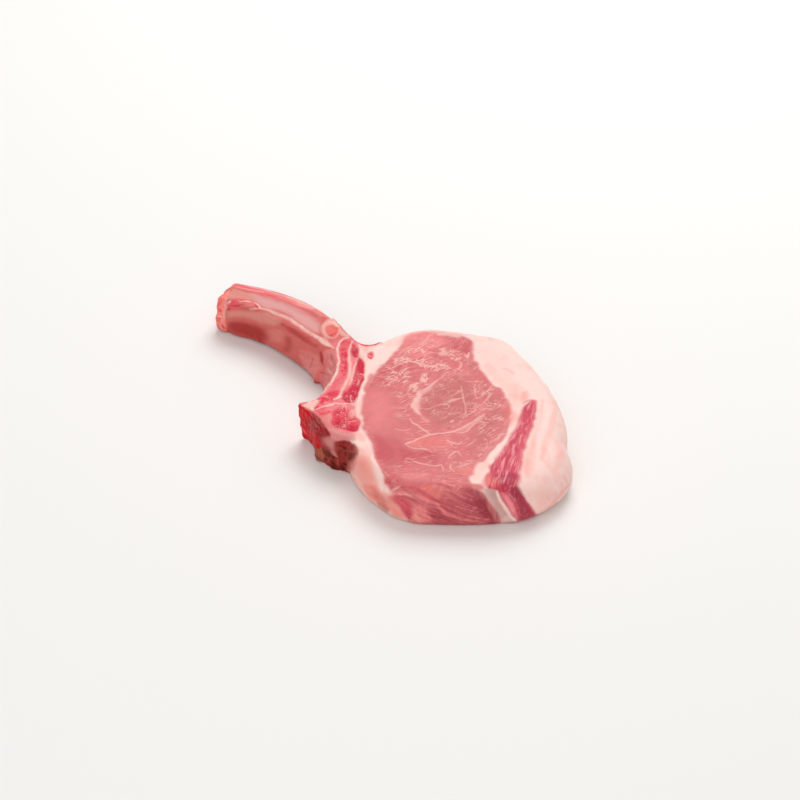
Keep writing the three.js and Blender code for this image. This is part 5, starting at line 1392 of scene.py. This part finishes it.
def rib_skin():
    """Rib under its skin: a thin wet membrane over bone and torn flesh, streaked along the rib."""
    material, node, read = start_finish("rib_membrane")
    streak_place = node("ShaderNodeMapping", {
        "Vector": read["place"], "Rotation": (0, 0, RIB_RUN), "Scale": (11 * MM, 1.5 * MM, 1.5 * MM)},
        vector_type="TEXTURE")
    streaks = node("ShaderNodeTexNoise", {
        "Vector": streak_place, "Scale": 1.0, "Detail": 4.0, "Distortion": 0.4})
    shade = node("ShaderNodeMapRange", {
        "Value": streaks, "From Min": 0.3, "From Max": 0.7, "To Min": 0.93, "To Max": 1.05})
    base = node("ShaderNodeHueSaturation", {"Color": read["tint"], "Value": shade})
    rough = node("ShaderNodeMapRange", {
        "Value": streaks, "From Min": 0.3, "From Max": 0.7, "To Min": 0.28, "To Max": 0.42})
    end_finish(node, read, base, rough, streaks, 0.15 * MM, 0.2)
    return material


class CHOP_OT_eye(bpy.types.Operator):
    """Builds the eye of the loin"""
    bl_idname = "chop.eye"
    bl_label = "Eye of the loin"

    def execute(self, context):
        sizes = context.scene.chop_sizes
        add_tissue(
            context, "lean_eye", "eye", raw_lean(context.scene.chop_colours), "lean", "loin_eye",
            **{"Height": sizes.lean_relief, "Size": (6 * MM, 2 * MM, 6 * MM), "Turn": -LEAN_RUN,
               "Fold height": sizes.fold_relief, "Fold size": (14 * MM, 14 * MM, 2.2 * MM)})
        return {"FINISHED"}


class CHOP_OT_cap(bpy.types.Operator):
    """Builds the dark muscle in the fat"""
    bl_idname = "chop.cap"
    bl_label = "Cap muscle"

    def execute(self, context):
        sizes = context.scene.chop_sizes
        add_tissue(
            context, "lean_cap", "cap", cap_lean(context.scene.chop_colours), "cap_lean", "cap_muscle",
            **{"Height": sizes.cap_relief, "Size": (7 * MM, 1.8 * MM, 4 * MM), "Turn": -CAP_RUN})
        return {"FINISHED"}


class CHOP_OT_fat(bpy.types.Operator):
    """Builds the fat round the muscles"""
    bl_idname = "chop.fat"
    bl_label = "Fat"

    def execute(self, context):
        sizes = context.scene.chop_sizes
        add_tissue(
            context, "fat_cap", "fat", back_fat(context.scene.chop_colours), "fat", "fat",
            **{"Height": sizes.fat_relief, "Size": (3.0 * MM,) * 3,
               "Fold height": sizes.fat_folds, "Fold size": (7 * MM, 7 * MM, 30 * MM)})
        return {"FINISHED"}


class CHOP_OT_vertebra(bpy.types.Operator):
    """Builds the sawn vertebra"""
    bl_idname = "chop.vertebra"
    bl_label = "Vertebra"

    def execute(self, context):
        sizes = context.scene.chop_sizes
        add_tissue(
            context, "sawn_vertebra", "vertebra", sawn_bone(context.scene.chop_colours),
            "sawn_bone", "vertebra",
            **{"Height": sizes.bone_relief, "Size": (1.1 * MM,) * 3})
        return {"FINISHED"}


class CHOP_OT_rib(bpy.types.Operator):
    """Builds the long rib"""
    bl_idname = "chop.rib"
    bl_label = "Rib"

    def execute(self, context):
        sizes = context.scene.chop_sizes
        add_tissue(
            context, "rib_bone", "rib", rib_skin(), "rib_bone", "rib",
            **{"Height": sizes.rib_relief, "Size": (9 * MM, 1.6 * MM, 1.6 * MM)})
        return {"FINISHED"}


class CHOP_OT_stage(bpy.types.Operator):
    """Adds the floor, the lights and the camera"""
    bl_idname = "chop.stage"
    bl_label = "Stage"

    def execute(self, context):
        scene = context.scene
        scene.view_settings.view_transform = "Standard"
        mesh = bpy.data.meshes.new("floor")
        reach = FLOOR_REACH
        mesh.from_pydata(
            [(-reach, -reach, 0), (reach, -reach, 0), (reach, reach, 0), (-reach, reach, 0)],
            [], [(0, 1, 2, 3)])
        floor = bpy.data.objects.new("floor", mesh)
        scene.collection.objects.link(floor)
        pale = bpy.data.materials.new("pale_floor")
        pale.use_nodes = True
        pale.node_tree.nodes["Principled BSDF"].inputs["Base Color"].default_value = srgb(FLOOR_COLOUR)
        pale.node_tree.nodes["Principled BSDF"].inputs["Roughness"].default_value = 0.8
        mesh.materials.append(pale)
        world = bpy.data.worlds.new("studio")
        world.use_nodes = True
        world.node_tree.nodes["Background"].inputs["Color"].default_value = (1, 1, 1, 1)
        world.node_tree.nodes["Background"].inputs["Strength"].default_value = SKY_STRENGTH
        scene.world = world
        for name, spot, size, power in LIGHTS:
            data = bpy.data.lights.new(name, "AREA")
            data.size = size
            data.energy = power
            light = bpy.data.objects.new(name, data)
            light.location = spot
            light.rotation_euler = (-Vector(spot)).to_track_quat("-Z", "Y").to_euler()
            scene.collection.objects.link(light)
        back = Vector(view_way())
        data = bpy.data.cameras.new("camera")
        data.lens = VIEW_LENS
        data.sensor_width = VIEW_SENSOR
        camera = bpy.data.objects.new("camera", data)
        target = Vector((VIEW_TARGET[0] + PLAN_SHIFT[0], VIEW_TARGET[1] + PLAN_SHIFT[1], 0)) * MM
        camera.location = target + back * VIEW_DISTANCE * MM
        camera.rotation_euler = back.to_track_quat("Z", "Y").to_euler()
        scene.collection.objects.link(camera)
        scene.camera = camera
        return {"FINISHED"}


class CHOP_PT_panel(bpy.types.Panel):
    """Sidebar panel of the chop"""
    bl_idname = "CHOP_PT_panel"
    bl_label = "Rack chop"
    bl_space_type = "VIEW_3D"
    bl_region_type = "UI"
    bl_category = "Chop"

    def draw(self, context):
        for group in (context.scene.chop_sizes, context.scene.chop_colours):
            box = self.layout.box()
            for name in group.__annotations__:
                box.prop(group, name)
        for name in ("eye", "cap", "fat", "vertebra", "rib", "stage"):
            self.layout.operator("chop." + name)


CLASSES = (
    ChopSizes, ChopColours, CHOP_OT_eye, CHOP_OT_cap, CHOP_OT_fat, CHOP_OT_vertebra, CHOP_OT_rib,
    CHOP_OT_stage, CHOP_PT_panel,
)


def register():
    for cls in CLASSES:
        bpy.utils.register_class(cls)
    bpy.types.Scene.chop_sizes = bpy.props.PointerProperty(type=ChopSizes)
    bpy.types.Scene.chop_colours = bpy.props.PointerProperty(type=ChopColours)


def unregister():
    del bpy.types.Scene.chop_colours
    del bpy.types.Scene.chop_sizes
    for cls in reversed(CLASSES):
        bpy.utils.unregister_class(cls)


def main():
    register()
    bpy.ops.chop.eye()
    bpy.ops.chop.cap()
    bpy.ops.chop.fat()
    bpy.ops.chop.vertebra()
    bpy.ops.chop.rib()
    bpy.ops.chop.stage()


if __name__ == "__main__":
    main()
